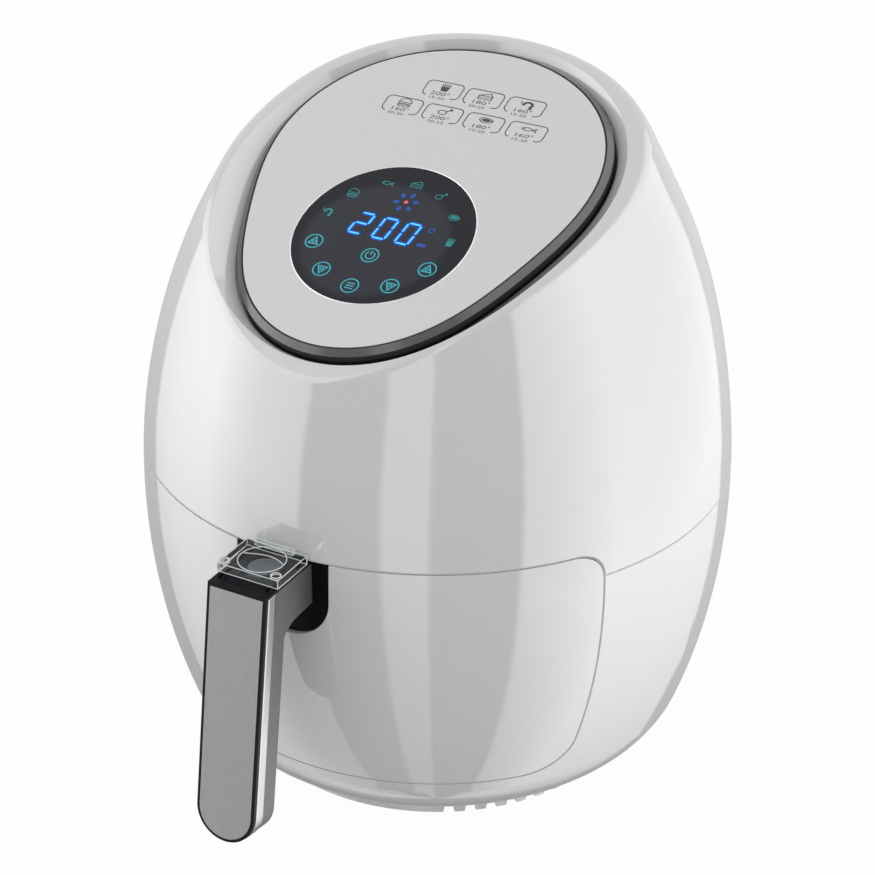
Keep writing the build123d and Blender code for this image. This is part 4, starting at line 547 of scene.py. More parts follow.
print("panel at height", PANEL_HEIGHT, "tilted by", round(math.degrees(PANEL_TILT), 1))

# %% [markdown]
# ## Seven foods as pictograms
# The panel lists what can be fried. These are plain signs of my own in a box from -1 to 1, drawn with the
# same pen, so that the print and the display can share them at different sizes.

# %% Chips, cake and prawn
LINE = 0.16


def fries():
    """A bag of chips."""
    sticks = [((-0.5, 0.1), (-0.62, 0.72)), ((-0.25, 0.1), (-0.3, 0.9)), ((0, 0.1), (0.02, 0.8))]
    sticks += [((0.25, 0.1), (0.34, 0.95)), ((0.48, 0.1), (0.64, 0.7))]
    shapes = [[(-0.66, 0.1), (0.66, 0.1), (0.46, -0.95), (-0.46, -0.95)]]
    for stick in sticks:
        shapes += stroke(stick, LINE)
    return shapes


def cake():
    """A slice of cake."""
    side = [(-1, -0.75), (1, -0.75), (1, 0.05), (-1, 0.05)]
    top = [(-1, 0.05), (0.55, 0.75), (1, 0.05)]
    cream = [(-1, -0.35), (1, -0.35)]
    return stroke(side, LINE, closed=True) + stroke(top, LINE) + stroke(cream, LINE * 0.7)


def prawn():
    """A curled prawn."""
    shapes = stroke(arc(0.1, -0.1, 0.62, -60, 200, 20), 0.42)
    shapes += [[(0.3, -0.85), (0.75, -0.55), (0.95, -1.0), (0.45, -1.15)]]
    for lift in (0.1, 0.45):
        shapes += stroke([(-0.5, lift - 0.35), (-0.95, lift - 0.1), (-1.1, lift + 0.35)], LINE * 0.5)
    return shapes


print("pictograms:", fries.__name__, cake.__name__, prawn.__name__)

# %% Bun, drumstick, steak and fish
def bun():
    """A filled bun."""
    top = arc(0, 0.1, 0.95, 0, 180, 14)
    shapes = stroke(top + [(-0.95, 0.1)], LINE, closed=True)
    shapes += stroke([(-1, -0.2), (-0.5, -0.32), (0, -0.2), (0.5, -0.32), (1, -0.2)], LINE)
    return shapes + stroke([(-0.9, -0.5), (0.9, -0.5), (0.75, -0.9), (-0.75, -0.9)], LINE, closed=True)


def drumstick():
    """A drumstick."""
    meat = [(x * 0.62 - 0.3, y * 0.5 - 0.3) for x, y in circle(0, 0, 1, 24)]
    shapes = stroke(meat, LINE, closed=True) + stroke([(0.15, 0.02), (0.72, 0.52)], LINE * 1.3)
    return shapes + dot(0.72, 0.72, 0.17) + dot(0.9, 0.5, 0.17)


def steak():
    """A steak with its bone."""
    rind = [(-1, 0), (-0.8, 0.48), (-0.2, 0.62), (0.5, 0.5), (1, 0.15)]
    rind += [(0.9, -0.3), (0.35, -0.5), (-0.5, -0.55)]
    meat = [(x * 0.72, y * 0.62 + 0.05) for x, y in rind]
    return stroke(rind, LINE, closed=True) + [meat] + ring(0.86, 0.1, 0.06, 0.1)


def fish():
    """A fish."""
    back = arc(-0.2, -0.75, 1.1, 42, 138, 12)
    belly = arc(-0.2, 0.72, 1.1, -138, -42, 12)
    tail = [(0.62, 0.0), (1.1, 0.42), (0.98, 0), (1.1, -0.42)]
    shapes = stroke(back + belly, LINE, closed=True) + stroke(tail, LINE, closed=True)
    return shapes + dot(-0.62, 0.08, 0.11)


print("pictograms:", bun.__name__, drumstick.__name__, steak.__name__, fish.__name__)

# %% [markdown]
# ## Type and frames for the print
# Seven small frames stand in two rows, each with a food, a temperature and a time below it. Blender's own
# font gives the digits: a text object is turned into a mesh, and its faces join the pen's shapes. The frame
# is one drawn line that stays open below, where the time stands.

# %% Type and frames
FRAME_SIZE = (18.4, 9.6)
FRAME_CORNER = 2.4
FRAME_START = 5.6
CORNER_STEPS = 6
INK_LINE = 0.52
WIDE_TYPE = 1.65


def digits(text, size):
    """Digits from Blender's own font, drawn wide, as flat shapes in the middle of the line."""
    curve = bpy.data.curves.new("digits", "FONT")
    curve.body = text
    curve.size = size
    curve.align_x = "CENTER"
    curve.resolution_u = 3
    holder = bpy.data.objects.new("digits", curve)
    mesh = bpy.data.meshes.new_from_object(holder)
    corners = [(WIDE_TYPE * vertex.co.x, vertex.co.y) for vertex in mesh.vertices]
    shapes = [[corners[index] for index in face.vertices] for face in mesh.polygons]
    bpy.data.objects.remove(holder)
    bpy.data.curves.remove(curve)
    bpy.data.meshes.remove(mesh)
    return shapes


def open_frame():
    """A rounded frame whose lower edge leaves room for the time."""
    wide = FRAME_SIZE[0] / 2 - FRAME_CORNER
    high = FRAME_SIZE[1] / 2 - FRAME_CORNER
    points = [(FRAME_START, -FRAME_SIZE[1] / 2)]
    for x, y, start in ((wide, -high, -90), (wide, high, 0), (-wide, high, 90), (-wide, -high, 180)):
        points += arc(x, y, FRAME_CORNER, start, start + 90, CORNER_STEPS)
    return stroke(points, INK_LINE)


print("frames of", FRAME_SIZE, "mm")

# %% [markdown]
# ## The print on the panel
# Now the whole print is put together in one single layer. Screen ink is matt and a little uneven, and lies a
# few hundredths of a millimetre proud. Print of this size is often drawn wide, so the foods are as well.

# %% Panel print
FRAME_PLACES = (
    (-16.5, 37.7), (4.4, 37.4), (25.4, 37.5),
    (-30.3, 23.7), (-9.5, 23.4), (11.6, 23.2), (33.0, 23.2),
)
FOODS = (fries, cake, prawn, bun, drumstick, steak, fish)
TEMPERATURES = ("200°", "180°", "160°", "160°", "200°", "180°", "160°")
TIMES = ("15-20", "20-25", "15-20", "20-30", "20-25", "10-20", "15-20")
WIDE_SIGN = 1.3
FOOD_PLACE = Vector((0.4, 1.5))
FOOD_SCALE = 2.6
HEAT_PLACE = Vector((-0.2, -3.9))
HEAT_SIZE = 3.2
TIME_PLACE = Vector((-1.0, -6.4))
TIME_SIZE = 2.2
INK_LIFT = 0.03

ink = new_finish("panel_ink", (0.06, 0.07, 0.075), 0.55)
mottle(ink, 0.0009, (0.05, 0.06, 0.065), (0.085, 0.095, 0.1))
printed = []
for middle, food, temperature, time in zip(FRAME_PLACES, FOODS, TEMPERATURES, TIMES):
    middle = Vector(middle)
    sign = [[(WIDE_SIGN * px, py) for px, py in shape] for shape in food()]
    printed += placed(open_frame(), *middle)
    printed += placed(sign, *(middle + FOOD_PLACE), FOOD_SCALE)
    printed += placed(digits(temperature, HEAT_SIZE), *(middle + HEAT_PLACE))
    printed += placed(digits(time, TIME_SIZE), *(middle + TIME_PLACE))
panel_print = lay_on_panel("panel_print", printed, ink, INK_LIFT)
print("panel print faces:", len(panel_print.data.polygons))

# %% [markdown]
# ## The lit display
# Behind the window there are lamps for three digits, a fan sign with a red dot in the middle, and marks for
# the units. Round them stand the foods and, below, the touch signs. The lamps differ in colour and strength,
# and the light of each varies a little over its face, as real lamps do.

# %% Display lamps
LAMP_UNLIT = 0.3
LAMP_DIM = 0.8
LAMP_CLOUD = 0.003
LAMP_SPAN = (0.25, 0.75)


def lamp(name, colour, strength):
    """A lit sign whose light is a little uneven."""
    unlit = tuple(value * LAMP_UNLIT for value in colour)
    dim = tuple(value * LAMP_DIM for value in colour)
    material = new_finish(name, unlit, 0.4, {"Emission Strength": strength})
    mottle(material, LAMP_CLOUD, dim, colour, socket="Emission Color", span=LAMP_SPAN)
    return material


core_blue = lamp("lamp_blue_core", (0.08, 0.60, 1.0), 1.2)
halo_blue = lamp("lamp_blue_halo", (0.004, 0.06, 0.48), 0.9)
fan_blue = lamp("lamp_fan_blue", (0.008, 0.075, 0.40), 0.85)
dot_red = lamp("lamp_red", (0.75, 0.12, 0.14), 0.9)
sign_teal = lamp("lamp_teal", (0.035, 0.40, 0.47), 0.95)
food_teal = lamp("lamp_teal_dim", (0.018, 0.25, 0.27), 0.75)
print("lamps:", core_blue.name, halo_blue.name, fan_blue.name, dot_red.name, sign_teal.name, food_teal.name)

# %% [markdown]
# ## Digits of seven bars
# Light that shines through tinted plastic has a bright core and a softer edge, so each digit is drawn twice:
# a wide dim layer, and a narrow bright one just above it. A digit is made of bars with pointed ends, as on
# any such display, and the whole figure leans a little.

# %% Digits on the display
DIGIT_SIZE = (6.3, 12.2)
DIGIT_PLACES = (-12.6, -0.7, 10.8)
DIGIT_MIDDLE = -48.7
DIGIT_SLANT = 0.10
BAR_GAP = 0.75
HALO_WIDTH = 2.4
HALO_LIFT = 0.03
CORE_WIDTH = 0.85
CORE_LIFT = 0.06
BARS_LIT = {"2": "abged", "0": "abcdef"}


def digit(figure, width):
    """One figure of seven bars, leaning a little."""
    half = DIGIT_SIZE[0] / 2
    tall = DIGIT_SIZE[1] / 2
    bars = {
        "a": ((-half, tall), (half, tall)),
        "b": ((half, tall), (half, 0)),
        "c": ((half, 0), (half, -tall)),
        "d": ((-half, -tall), (half, -tall)),
        "e": ((-half, 0), (-half, -tall)),
        "f": ((-half, tall), (-half, 0)),
        "g": ((-half, 0), (half, 0)),
    }
    shapes = []
    for key in BARS_LIT[figure]:
        start = Vector(bars[key][0])
        end = Vector(bars[key][1])
        along = (end - start).normalized()
        across = Vector((-along.y, along.x)) * width / 2
        near = start + along * BAR_GAP
        far = end - along * BAR_GAP
        tip = along * width / 2
        shapes.append([near - tip, near + across, far + across, far + tip, far - across, near - across])
    return [[(x + DIGIT_SLANT * y, y) for x, y in shape] for shape in shapes]


def figures(width):
    """The three figures with bars of this width."""
    shapes = []
    for figure, x in zip("200", DIGIT_PLACES):
        shapes += placed(digit(figure, width), x, DIGIT_MIDDLE)
    return shapes


lay_on_panel("digit_halo", figures(HALO_WIDTH), halo_blue, HALO_LIFT)
lay_on_panel("digit_core", figures(CORE_WIDTH), core_blue, CORE_LIFT)
print("digits lit at", DIGIT_PLACES)

# %% [markdown]
# ## Fan sign and unit marks
# The fan sign is one petal, repeated round a red dot. The marks for the units are kept to a small ring and a
# short bar, the least that still reads as degrees and minutes.

# %% Fan sign and unit marks
FAN_MIDDLE = (0.7, -31.6)
FAN_DOT = 1.0
PETALS = 6
PETAL_SIZE = (1.0, 1.5)
PETAL_OUT = 4.5
PETAL_TURN = -18
PETAL_STEPS = 14
DEGREE_MARK = (20.0, -44.0, 1.2)
DEGREE_LINE = 0.6
MINUTE_MARK = ((17.6, -53.2), (21.6, -53.2))
MINUTE_LINE = 1.8
SIGN_LIFT = 0.04
FAN_DOT_LIFT = 0.05

petal = [(PETAL_SIZE[0] * x, PETAL_OUT + PETAL_SIZE[1] * y) for x, y in circle(0, 0, 1, PETAL_STEPS)]
petals = []
for index in range(PETALS):
    petals += placed([petal], *FAN_MIDDLE, 1, index * 360 / PETALS + PETAL_TURN)
lay_on_panel("fan_sign", petals, fan_blue, SIGN_LIFT)
lay_on_panel("fan_dot", dot(*FAN_MIDDLE, FAN_DOT), dot_red, FAN_DOT_LIFT)
marks = ring(*DEGREE_MARK, DEGREE_LINE) + stroke(MINUTE_MARK, MINUTE_LINE)
lay_on_panel("unit_marks", marks, fan_blue, SIGN_LIFT)
print("fan sign with", len(petals), "petals")

# %% [markdown]
# ## Foods and touch signs
# The foods sit on an arc round the digits, dimmer because none is chosen. The touch signs below are circles
# with a simple sign inside: arrows to change heat and time, lines for the list, and the usual sign for power.
# They stand right above the touch pads of the solid model, so that a finger would find them.

# %% Foods on the display
DISPLAY_MIDDLE = -51.8
FOOD_ARC = 31.4
LIT_FOODS = ((prawn, 170), (bun, 143.5), (fish, 114.5), (cake, 89), (drumstick, 63), (steak, 34), (fries, 7))
LIT_FOOD_SCALE = 2.6

food_signs = []
for food, angle in LIT_FOODS:
    x = FOOD_ARC * math.cos(math.radians(angle))
    y = DISPLAY_MIDDLE + FOOD_ARC * math.sin(math.radians(angle))
    food_signs += placed(food(), x, y, LIT_FOOD_SCALE)
lay_on_panel("food_signs", food_signs, food_teal, SIGN_LIFT)
print("foods on the display:", len(LIT_FOODS))

# %% Touch signs
TOUCH_RING = 3.9
TOUCH_LINE = 0.55


def arrow(up):
    """A triangle with a small ring in it, pointing up or down."""
    tip = 1 if up else -1
    outline = [(-2.3, -1.5 * tip), (2.3, -1.5 * tip), (0, 2.5 * tip)]
    return stroke(outline, TOUCH_LINE, closed=True) + ring(0, -0.2 * tip, 0.7, 0.4)


def list_sign():
    """Three lines."""
    return [shape for y in (-1.4, 0, 1.4) for shape in stroke([(-1.9, y), (1.9, y)], TOUCH_LINE)]


def power_sign():
    """An open circle with a bar."""
    return stroke(arc(0, 0, 2.1, 120, 420, 24), TOUCH_LINE) + stroke([(0, 0.4), (0, 2.7)], TOUCH_LINE)


touch_signs = (
    (-28.0, -64.4, arrow(True)),
    (-16.5, -78.3, arrow(False)),
    (0.5, -83.5, list_sign()),
    (17.7, -78.6, arrow(False)),
    (29.0, -65.2, arrow(True)),
    (0.5, -64.9, power_sign()),
)
lit = []
for x, y, sign in touch_signs:
    lit += ring(x, y, TOUCH_RING, TOUCH_LINE) + placed(sign, x, y)
touch_layer = lay_on_panel("touch_signs", lit, sign_teal, SIGN_LIFT)
print("touch signs:", len(touch_signs), "faces:", len(touch_layer.data.polygons))

# %% [markdown]
# ## A bright edge round the window
# Where the sheet is cut for the window, its edge catches the light as a fine bright line. We sweep a small
# half-round profile round a circle and give it the paint of the sheet, a little whiter: the extra white is a
# painted highlight.

# %% Window edge
EDGE_RADIUS = 41.25
EDGE_WIDTH = 0.5
EDGE_HEIGHT = 0.16
EDGE_STEPS = 96
EDGE_PROFILE = ((-0.5, 0), (-0.3, 0.8), (0, 1), (0.3, 0.8), (0.5, 0))

# painted highlight: a little whiter than the sheet, for the light that the cut edge catches
window_edge_highlight_paint = new_finish("window_edge", (0.92, 0.93, 0.93), 0.3, {"Metallic": 0.6})
mottle(window_edge_highlight_paint, 0.003, (0.90, 0.91, 0.91), (0.94, 0.95, 0.95))
vary_gloss(window_edge_highlight_paint, 0.002, 0.25, 0.36)
edge_mesh = bpy.data.meshes.new("window_edge")
sweep = bmesh.new()
rows = []
for step in range(EDGE_STEPS):
    turn = 2 * math.pi * step / EDGE_STEPS
    row = []
    for across, height in EDGE_PROFILE:
        radius = EDGE_RADIUS + across * EDGE_WIDTH
        x = radius * math.sin(turn)
        y = DISPLAY_MIDDLE + radius * math.cos(turn)
        z = height * EDGE_HEIGHT
        row.append(sweep.verts.new((x / PER_METRE, y / PER_METRE, z / PER_METRE)))
    rows.append(row)
for step, row in enumerate(rows):
    after = rows[(step + 1) % EDGE_STEPS]
    for index in range(len(row) - 1):
        sweep.faces.new((row[index], row[index + 1], after[index + 1], after[index])).smooth = True
bmesh.ops.recalc_face_normals(sweep, faces=sweep.faces)
sweep.to_mesh(edge_mesh)
sweep.free()
edge_mesh.materials.append(window_edge_highlight_paint)
window_edge = bpy.data.objects.new("window_edge", edge_mesh)
set_on_panel(window_edge)
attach(window_edge, "housing")
print("window edge faces:", len(edge_mesh.polygons))

# %% [markdown]
# ## Where the seams are
# Without help, the joint between two mouldings would show as a dark slit. A grey cord is set into it, and
# its grey is painted shade: it stands in for the soft grey line of shade in the seam, lighter than a black
# slit. To follow a seam we need its place on the shell. The drawer's outline is a rounded rectangle seen
# from the side, and rays from the right ask the shell itself how far out it is there. A ray into the gap
# would miss, so it asks just beside it. On the front the outline is level, and there the round body gives
# plain arcs.

# %% Points along the seams
DRAWER_EDGE = -0.066
DRAWER_LOW = 0.0383
DRAWER_HIGH = 0.1565
CORNER_LOW = 0.017
CORNER_HIGH = 0.012
SIDE_CORNER_STEPS = 12
SIDE_STEPS = 24

shells = []
for name in ("upper_housing", "lower_housing"):
    mesh = nodes[name].data
    corners = [vertex.co.copy() for vertex in mesh.vertices]
    shells.append(BVHTree.FromPolygons(corners, [tuple(face.vertices) for face in mesh.polygons]))


def reach_out(y, z):
    """How far the shell reaches to the right at this place."""
    hits = [surface_tree.ray_cast(Vector((1, y, z)), Vector((-1, 0, 0)))[0] for surface_tree in shells]
    return max(hit.x for hit in hits if hit)


def round_body(far, start, end, z, steps):
    """Points on a level arc round the body between two angles, counted in degrees from the front."""
    turns = [math.radians(start + (end - start) * step / steps) for step in range(steps + 1)]
    return [(far * math.sin(turn), -far * math.cos(turn), z) for turn in turns]


def drawer_side(grow):
    """The drawer's rear edge with its two corners, seen from the side, grown by this much."""
    top = DRAWER_HIGH - CORNER_HIGH
    bottom = DRAWER_LOW + CORNER_LOW
    line = arc(DRAWER_EDGE - CORNER_HIGH, top, CORNER_HIGH + grow, 90, 0, SIDE_CORNER_STEPS)
    for step in range(1, SIDE_STEPS):
        line.append((DRAWER_EDGE + grow, top + (bottom - top) * step / SIDE_STEPS))
    return line + arc(DRAWER_EDGE - CORNER_LOW, bottom, CORNER_LOW + grow, 0, -90, SIDE_CORNER_STEPS)


print("shell reaches", round(reach_out(0, DRAWER_HIGH), 4), "m out at the drawer's top")

# %% [markdown]
# ## A cord of painted shade in the seams
# The cord is thin, round and grey, along these points, and its grey is painted shade for the seam line. It
# is sunk into the gap until it stands no higher than the shell, and moved a tenth of a millimetre towards the
# housing, so that it is held there and clears the drawer. It rides on the housing. The straight seam round
# the body gets the same.

# %% Seam cord of painted shade
CORD_RADIUS = 0.00032
CORD_SINK = 0.0006
LEVEL_SINK = 0.00034
CORD_SHIFT = 0.0001
BESIDE = 0.0008
SEAM_HEIGHT = 0.144
BACK_OF_BODY = 180
LEVEL_STEPS = 40
GROOVE_STEPS = 60


def round_line(name, radius, material):
    """A curve with a thin round section that still waits for its lines."""
    curve = bpy.data.curves.new(name, "CURVE")
    curve.dimensions = "3D"
    curve.bevel_depth = radius
    curve.bevel_resolution = 2
    curve.materials.append(material)
    return curve


def add_line(curve, points, closed=False):
    """Adds one line through these points to a curve."""
    spline = curve.splines.new("POLY")
    spline.points.add(len(points) - 1)
    for point, place in zip(spline.points, points):
        point.co = (*place, 1)
    spline.use_cyclic_u = closed


def level(y, z_beside, z):
    """Points on a level arc from the middle of the front to this y."""
    far = math.hypot(reach_out(y, z_beside), y) - LEVEL_SINK
    return round_body(far, 0, math.degrees(math.acos(-y / far)), z, LEVEL_STEPS)


# painted shade: the cord's grey stands in for the shade seen in the seams
seam_shade_grey = new_finish("seam_painted_shade", (0.66, 0.67, 0.665), 0.5)
mottle(seam_shade_grey, 0.004, (0.62, 0.63, 0.625), (0.70, 0.71, 0.705))
outline = drawer_side(CORD_SHIFT)
beside = drawer_side(BESIDE)
cord = level(outline[0][0], DRAWER_HIGH + BESIDE, DRAWER_HIGH + CORD_SHIFT)
for (y, z), (y_beside, z_beside) in zip(outline[1:-1], beside[1:-1]):
    cord.append((reach_out(y_beside, z_beside) - CORD_SINK, y, z))
cord += level(outline[-1][0], DRAWER_LOW - BESIDE, DRAWER_LOW - CORD_SHIFT)[::-1]
groove_far = reach_out(0, SEAM_HEIGHT + BESIDE) - LEVEL_SINK
groove_start = math.degrees(math.acos(-DRAWER_EDGE / groove_far))
groove = round_body(groove_far, groove_start, BACK_OF_BODY, SEAM_HEIGHT, GROOVE_STEPS)
seam_shade_curve = round_line("seam_lip", CORD_RADIUS, seam_shade_grey)
for side in (-1, 1):
    for line in (cord, groove):
        add_line(seam_shade_curve, [(side * x, y, z) for x, y, z in line])
seam_lip = bpy.data.objects.new("seam_lip", seam_shade_curve)
scene.collection.objects.link(seam_lip)
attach(seam_lip, "housing")
print("seam lip points:", sum(len(spline.points) for spline in seam_shade_curve.splines))

# %% [markdown]
# ## Painted highlights on the guard's edges
# A clear block is seen by its edges: each one is slightly rounded and polished, gathers the light and shows
# as a fine white line. Rays through such a small rounding would need many samples, so these highlights are
# painted: thin white curves with a round section along the edges of the block and its rail. The guard's
# own box gives their places.

# %% Guard block and rail
EDGE_LINE = 0.00024
EDGE_LIFT = 0.0002
GUARD_FOOT = 0.0014
RAIL_HALF_LENGTH = 0.0095
RAIL_HALF_WIDTH = 0.0010
RAIL_HEIGHT = 0.0018
RAIL_IN = 0.0016

# painted highlights: these white lines stand in for the light that the polished edges gather
guard_highlight_white = new_finish("guard_edge_highlight", (0.92, 0.93, 0.93), 0.2)
mottle(guard_highlight_white, 0.004, (0.89, 0.90, 0.90), (0.95, 0.96, 0.96))
guard_highlight_curve = round_line("guard_edge_highlights", EDGE_LINE, guard_highlight_white)
guard_low, guard_high = (Vector(corner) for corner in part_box("button_guard"))
block_low = guard_low.z + GUARD_FOOT + EDGE_LIFT
block_high = guard_high.z - RAIL_HEIGHT


def edge_box(left, right, front, back, low, high):
    """Painted highlight lines along the twelve edges of a block."""
    corners = ((left, front), (right, front), (right, back), (left, back))
    for height in (low, high):
        add_line(guard_highlight_curve, [(x, y, height) for x, y in corners], closed=True)
    for x, y in corners:
        add_line(guard_highlight_curve, [(x, y, low), (x, y, high)])


edge_box(guard_low.x, guard_high.x, guard_low.y, guard_high.y, block_low, block_high)
rail_middle = guard_high.y - RAIL_IN
rail_front = rail_middle - RAIL_HALF_WIDTH
rail_back = rail_middle + RAIL_HALF_WIDTH
edge_box(-RAIL_HALF_LENGTH, RAIL_HALF_LENGTH, rail_front, rail_back, block_high, guard_high.z)
print("guard block from", round(block_low, 4), "to", round(block_high, 4))

# %% [markdown]
# ## Dimple and posts of the guard
# A finger finds the guard by a round dimple in its top and two small posts at its front corners. Rims and
# posts get the same painted highlights. One more painted highlight crosses the dimple, where its bowl bends
# the light over: it lies on the bowl's own surface, a part of a sphere. All lines ride on the guard and slide
# with it.

# %% Guard dimple and posts
DIMPLE_RADIUS = 0.0104
DIMPLE_DEPTH = 0.0018
DIMPLE_STEPS = 48
SCOOP_HALF_WIDTH = 0.0099
SCOOP_ENDS = 0.0010
SCOOP_BULGE = 0.0045
SCOOP_STEPS = 12
POST_RADIUS = 0.0022
POST_UP = 0.0009
POST_STEPS = 24


def edge_ring(x, y, radius, height, steps):
    """A painted highlight line along a round edge."""
    add_line(guard_highlight_curve, [(px, py, height) for px, py in circle(x, y, radius, steps)], closed=True)


block_middle = (guard_low.y + guard_high.y) / 2
edge_ring(0, block_middle, DIMPLE_RADIUS, block_high, DIMPLE_STEPS)
bowl = (DIMPLE_RADIUS ** 2 + DIMPLE_DEPTH ** 2) / (2 * DIMPLE_DEPTH)
scoop = []
for step in range(-SCOOP_STEPS, SCOOP_STEPS + 1):
    share = step / SCOOP_STEPS
    x = share * SCOOP_HALF_WIDTH
    y = SCOOP_ENDS + SCOOP_BULGE * (1 - share ** 2)
    sink = bowl - DIMPLE_DEPTH - math.sqrt(bowl ** 2 - x ** 2 - y ** 2)
    scoop.append((x, block_middle + y, block_high + sink))
# painted highlight where the dimple's bowl bends the light over
add_line(guard_highlight_curve, scoop)
post_y = guard_low.y + POST_RADIUS
for side in (-1, 1):
    post_x = side * (guard_high.x - POST_RADIUS)
    for height in (block_high, block_high + POST_UP):
        edge_ring(post_x, post_y, POST_RADIUS, height, POST_STEPS)
guard_edge_highlights = bpy.data.objects.new("guard_edge_highlights", guard_highlight_curve)
scene.collection.objects.link(guard_edge_highlights)
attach(guard_edge_highlights, "button_guard")
print("guard edges:", len(guard_highlight_curve.splines), "lines")

# %% [markdown]
# ## The floor
# A white object on white is drawn by what it mirrors, so we build two studios at once. One gives the light:
# an even air with soft lamps, and a paper floor that takes the object's shadow. The other one is only seen
# in reflections. The camera and the clear guard see mostly pure white paper, and a small share of the real
# light, so that the shadow stays. Mirror rays don't see the floor at all: they pass on to the walls.

# %% Floor
FLOOR_REACH = 8.0
PAPER_GLOW = 0.97


def seen_directly(tree):
    """An output that is 1 for the camera's rays and rays through the clear guard, and else 0."""
    path = tree.nodes.new("ShaderNodeLightPath")
    seen = tree.nodes.new("ShaderNodeMath")
    seen.operation = "MAXIMUM"
    tree.links.new(path.outputs["Is Camera Ray"], seen.inputs[0])
    tree.links.new(path.outputs["Is Transmission Ray"], seen.inputs[1])
    return seen.outputs[0]


floor_mesh = bpy.data.meshes.new("studio_floor")
floor_corners = [(x * FLOOR_REACH, y * FLOOR_REACH, 0) for x, y in ((-1, -1), (1, -1), (1, 1), (-1, 1))]
floor_mesh.from_pydata(floor_corners, [], [(0, 1, 2, 3)])
floor = bpy.data.objects.new("studio_floor", floor_mesh)
floor.visible_glossy = False
scene.collection.objects.link(floor)

paper = new_finish("paper_floor", (0.82, 0.82, 0.82), 0.8, {"Specular IOR Level": 0.0})
mottle(paper, 0.3, (0.815, 0.815, 0.815), (0.825, 0.825, 0.825))
tree = paper.node_tree
share = tree.nodes.new("ShaderNodeMath")
share.operation = "MULTIPLY"
share.inputs[1].default_value = PAPER_GLOW
glow = tree.nodes.new("ShaderNodeEmission")
glow.inputs["Strength"].default_value = 1.0
blend = tree.nodes.new("ShaderNodeMixShader")
tree.links.new(seen_directly(tree), share.inputs[0])
tree.links.new(share.outputs[0], blend.inputs[0])
tree.links.new(tree.nodes["Principled BSDF"].outputs[0], blend.inputs[1])
tree.links.new(glow.outputs[0], blend.inputs[2])
tree.links.new(blend.outputs[0], tree.nodes["Material Output"].inputs["Surface"])
floor_mesh.materials.append(paper)
print("floor:", 2 * FLOOR_REACH, "m square")

# %% [markdown]
# ## Soft lamps
# Three large softboxes give the light some direction: left, right and above. They are kept out of
# reflections, because the walls of the mirrored studio take that part.

# %% Softboxes
STUDIO_MIDDLE = Vector((0, 0, 0.15))


def softbox(name, azimuth, elevation, distance, width, height, radiance):
    """An area lamp of this size, whose face has this brightness."""
    light = bpy.data.lights.new(name, "AREA")
    light.shape = "RECTANGLE"
    light.size = width
    light.size_y = height
    light.energy = radiance * math.pi * width * height
    lamp_object = bpy.data.objects.new(name, light)
    scene.collection.objects.link(lamp_object)
    aim(lamp_object, STUDIO_MIDDLE + distance * direction(azimuth, elevation), STUDIO_MIDDLE)
    lamp_object.visible_camera = False
    lamp_object.visible_glossy = False
    return lamp_object


softboxes = [
    softbox("left_softbox", -70, 20, 1.7, 1.3, 1.3, 0.45),
    softbox("right_softbox", 110, 20, 1.9, 1.6, 1.4, 0.4),
    softbox("top_softbox", 20, 80, 1.9, 1.6, 1.6, 0.5),
]
print("softboxes:", [lamp_object.name for lamp_object in softboxes])

# %% [markdown]
# ## Walls for the reflections
# Round the object stands a ring of upright bands: a broad bright softbox on each side that fades towards its
# far edge, a narrow bright stripe near the camera, and grey card between them and behind. A glossy body
# turns these bands into the crisp stripes that show its curve. Each band is a pair of an azimuth and a
# brightness on one colour ramp. All of it is for mirror rays only, and diffuse light sees even air.

# %% Walls
BRIGHTEST = 4.0
BANDS = (
    (-180, 0.8), (-109, 0.8), (-108, 1.6), (-100, 1.9), (-80, 3.0), (-66, 3.6), (-55, 3.1), (-44, 2.4),
    (-23, 2.0), (-22, 0.4), (8, 0.4), (9, 1.8), (26, 1.8), (27, 0.42), (60, 0.42), (61, 2.1), (84, 3.1),
    (100, 3.8), (120, 3.1), (140, 2.4), (155, 1.9), (170, 1.5), (172, 0.8), (180, 0.8),
)

world = bpy.data.worlds.new("studio")
scene.world = world
world.use_nodes = True
tree = world.node_tree
coordinate = tree.nodes.new("ShaderNodeTexCoord")
axes = tree.nodes.new("ShaderNodeSeparateXYZ")
forward = tree.nodes.new("ShaderNodeMath")
forward.operation = "MULTIPLY"
forward.inputs[1].default_value = -1
azimuth = tree.nodes.new("ShaderNodeMath")
azimuth.operation = "ARCTAN2"
turn = tree.nodes.new("ShaderNodeMapRange")
turn.inputs["From Min"].default_value = -math.pi
turn.inputs["From Max"].default_value = math.pi
walls = tree.nodes.new("ShaderNodeValToRGB")
stops = walls.color_ramp.elements
stops.remove(stops[1])
for index, (angle, brightness) in enumerate(BANDS):
    stop = stops.new((angle + 180) / 360) if index else stops[0]
    stop.color = (brightness / BRIGHTEST, brightness / BRIGHTEST, brightness / BRIGHTEST, 1)
tree.links.new(coordinate.outputs["Generated"], axes.inputs[0])
tree.links.new(axes.outputs["Y"], forward.inputs[0])
tree.links.new(axes.outputs["X"], azimuth.inputs[0])
tree.links.new(forward.outputs[0], azimuth.inputs[1])
tree.links.new(azimuth.outputs[0], turn.inputs["Value"])
tree.links.new(turn.outputs["Result"], walls.inputs["Fac"])
print("bands:", len(BANDS), "brightest", BRIGHTEST)

# %% [markdown]
# ## Fade and ceiling
# Downwards the bands fade out, as they would in a floor, a little sooner on one side. Above them a dim
# ceiling closes the room, which is what the panel and the display window mirror. Both only need the height of
# the ray's direction.

# %% Fade and ceiling
FADE_WAY = (0.25, 0, 1)
FADE_SPAN = (-0.95, -0.3)
FADE_LEAST = 0.3
CEILING = 0.16
CEILING_SPAN = (0.6, 0.85)

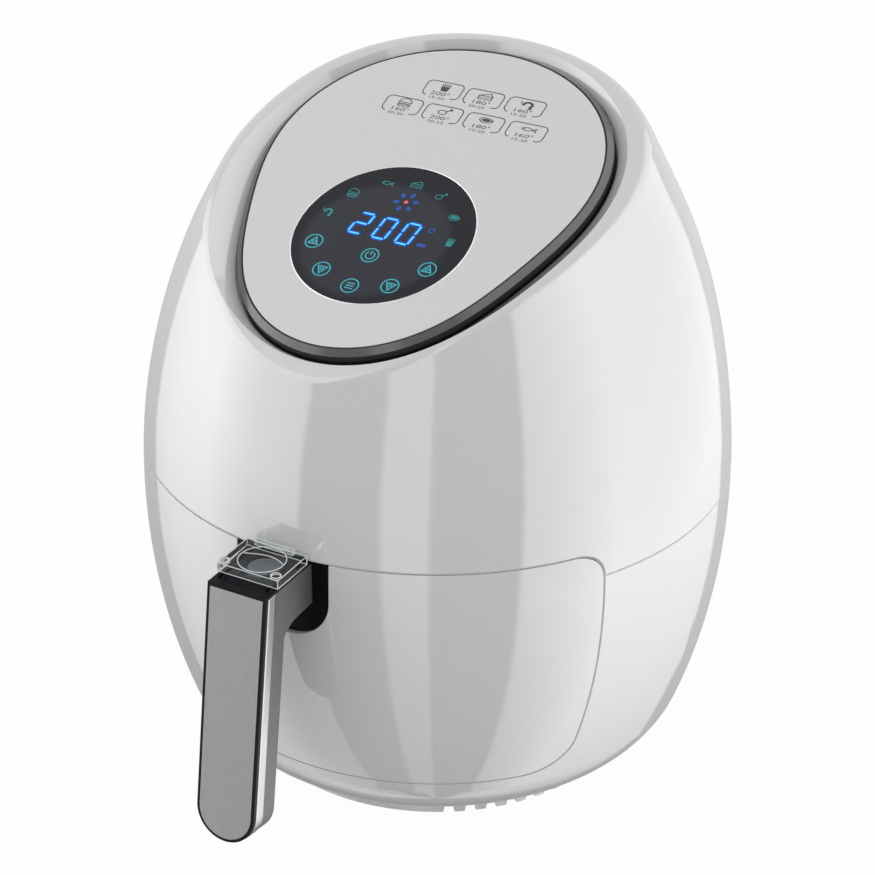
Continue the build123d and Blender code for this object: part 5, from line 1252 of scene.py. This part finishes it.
slope = tree.nodes.new("ShaderNodeVectorMath")
slope.operation = "DOT_PRODUCT"
slope.inputs[1].default_value = FADE_WAY
fade = tree.nodes.new("ShaderNodeMapRange")
fade.inputs["From Min"].default_value = FADE_SPAN[0]
fade.inputs["From Max"].default_value = FADE_SPAN[1]
fade.inputs["To Min"].default_value = FADE_LEAST
faded = tree.nodes.new("ShaderNodeVectorMath")
faded.operation = "SCALE"
rise = tree.nodes.new("ShaderNodeMapRange")
rise.inputs["From Min"].default_value = CEILING_SPAN[0]
rise.inputs["From Max"].default_value = CEILING_SPAN[1]
room = tree.nodes.new("ShaderNodeMix")
room.data_type = "RGBA"
room.inputs["B"].default_value = (CEILING, CEILING, CEILING, 1)
tree.links.new(axes.outputs["Z"], rise.inputs["Value"])
tree.links.new(rise.outputs["Result"], room.inputs["Factor"])
tree.links.new(coordinate.outputs["Generated"], slope.inputs[0])
tree.links.new(slope.outputs["Value"], fade.inputs["Value"])
tree.links.new(walls.outputs["Color"], faded.inputs[0])
tree.links.new(fade.outputs["Result"], faded.inputs["Scale"])
tree.links.new(faded.outputs["Vector"], room.inputs["A"])
print("ceiling brightness:", CEILING)

# %% [markdown]
# ## Which ray sees what
# Three backgrounds share the world: the room with its bands for mirror rays, pure white for the camera and
# for what is seen through the guard, and even air for all the rest.

# %% Three backgrounds
AIR = 0.58

mirrored = tree.nodes["Background"]
mirrored.inputs["Strength"].default_value = BRIGHTEST
white = tree.nodes.new("ShaderNodeBackground")
white.inputs["Color"].default_value = (1, 1, 1, 1)
air = tree.nodes.new("ShaderNodeBackground")
air.inputs["Color"].default_value = (1, 1, 1, 1)
air.inputs["Strength"].default_value = AIR
path = tree.nodes.new("ShaderNodeLightPath")
pick_white = tree.nodes.new("ShaderNodeMixShader")
pick_room = tree.nodes.new("ShaderNodeMixShader")
tree.links.new(room.outputs["Result"], mirrored.inputs["Color"])
tree.links.new(seen_directly(tree), pick_white.inputs[0])
tree.links.new(air.outputs[0], pick_white.inputs[1])
tree.links.new(white.outputs[0], pick_white.inputs[2])
tree.links.new(path.outputs["Is Glossy Ray"], pick_room.inputs[0])
tree.links.new(pick_white.outputs[0], pick_room.inputs[1])
tree.links.new(mirrored.outputs[0], pick_room.inputs[2])
tree.links.new(pick_room.outputs[0], tree.nodes["World Output"].inputs["Surface"])
print("world:", world.name, "air", AIR)
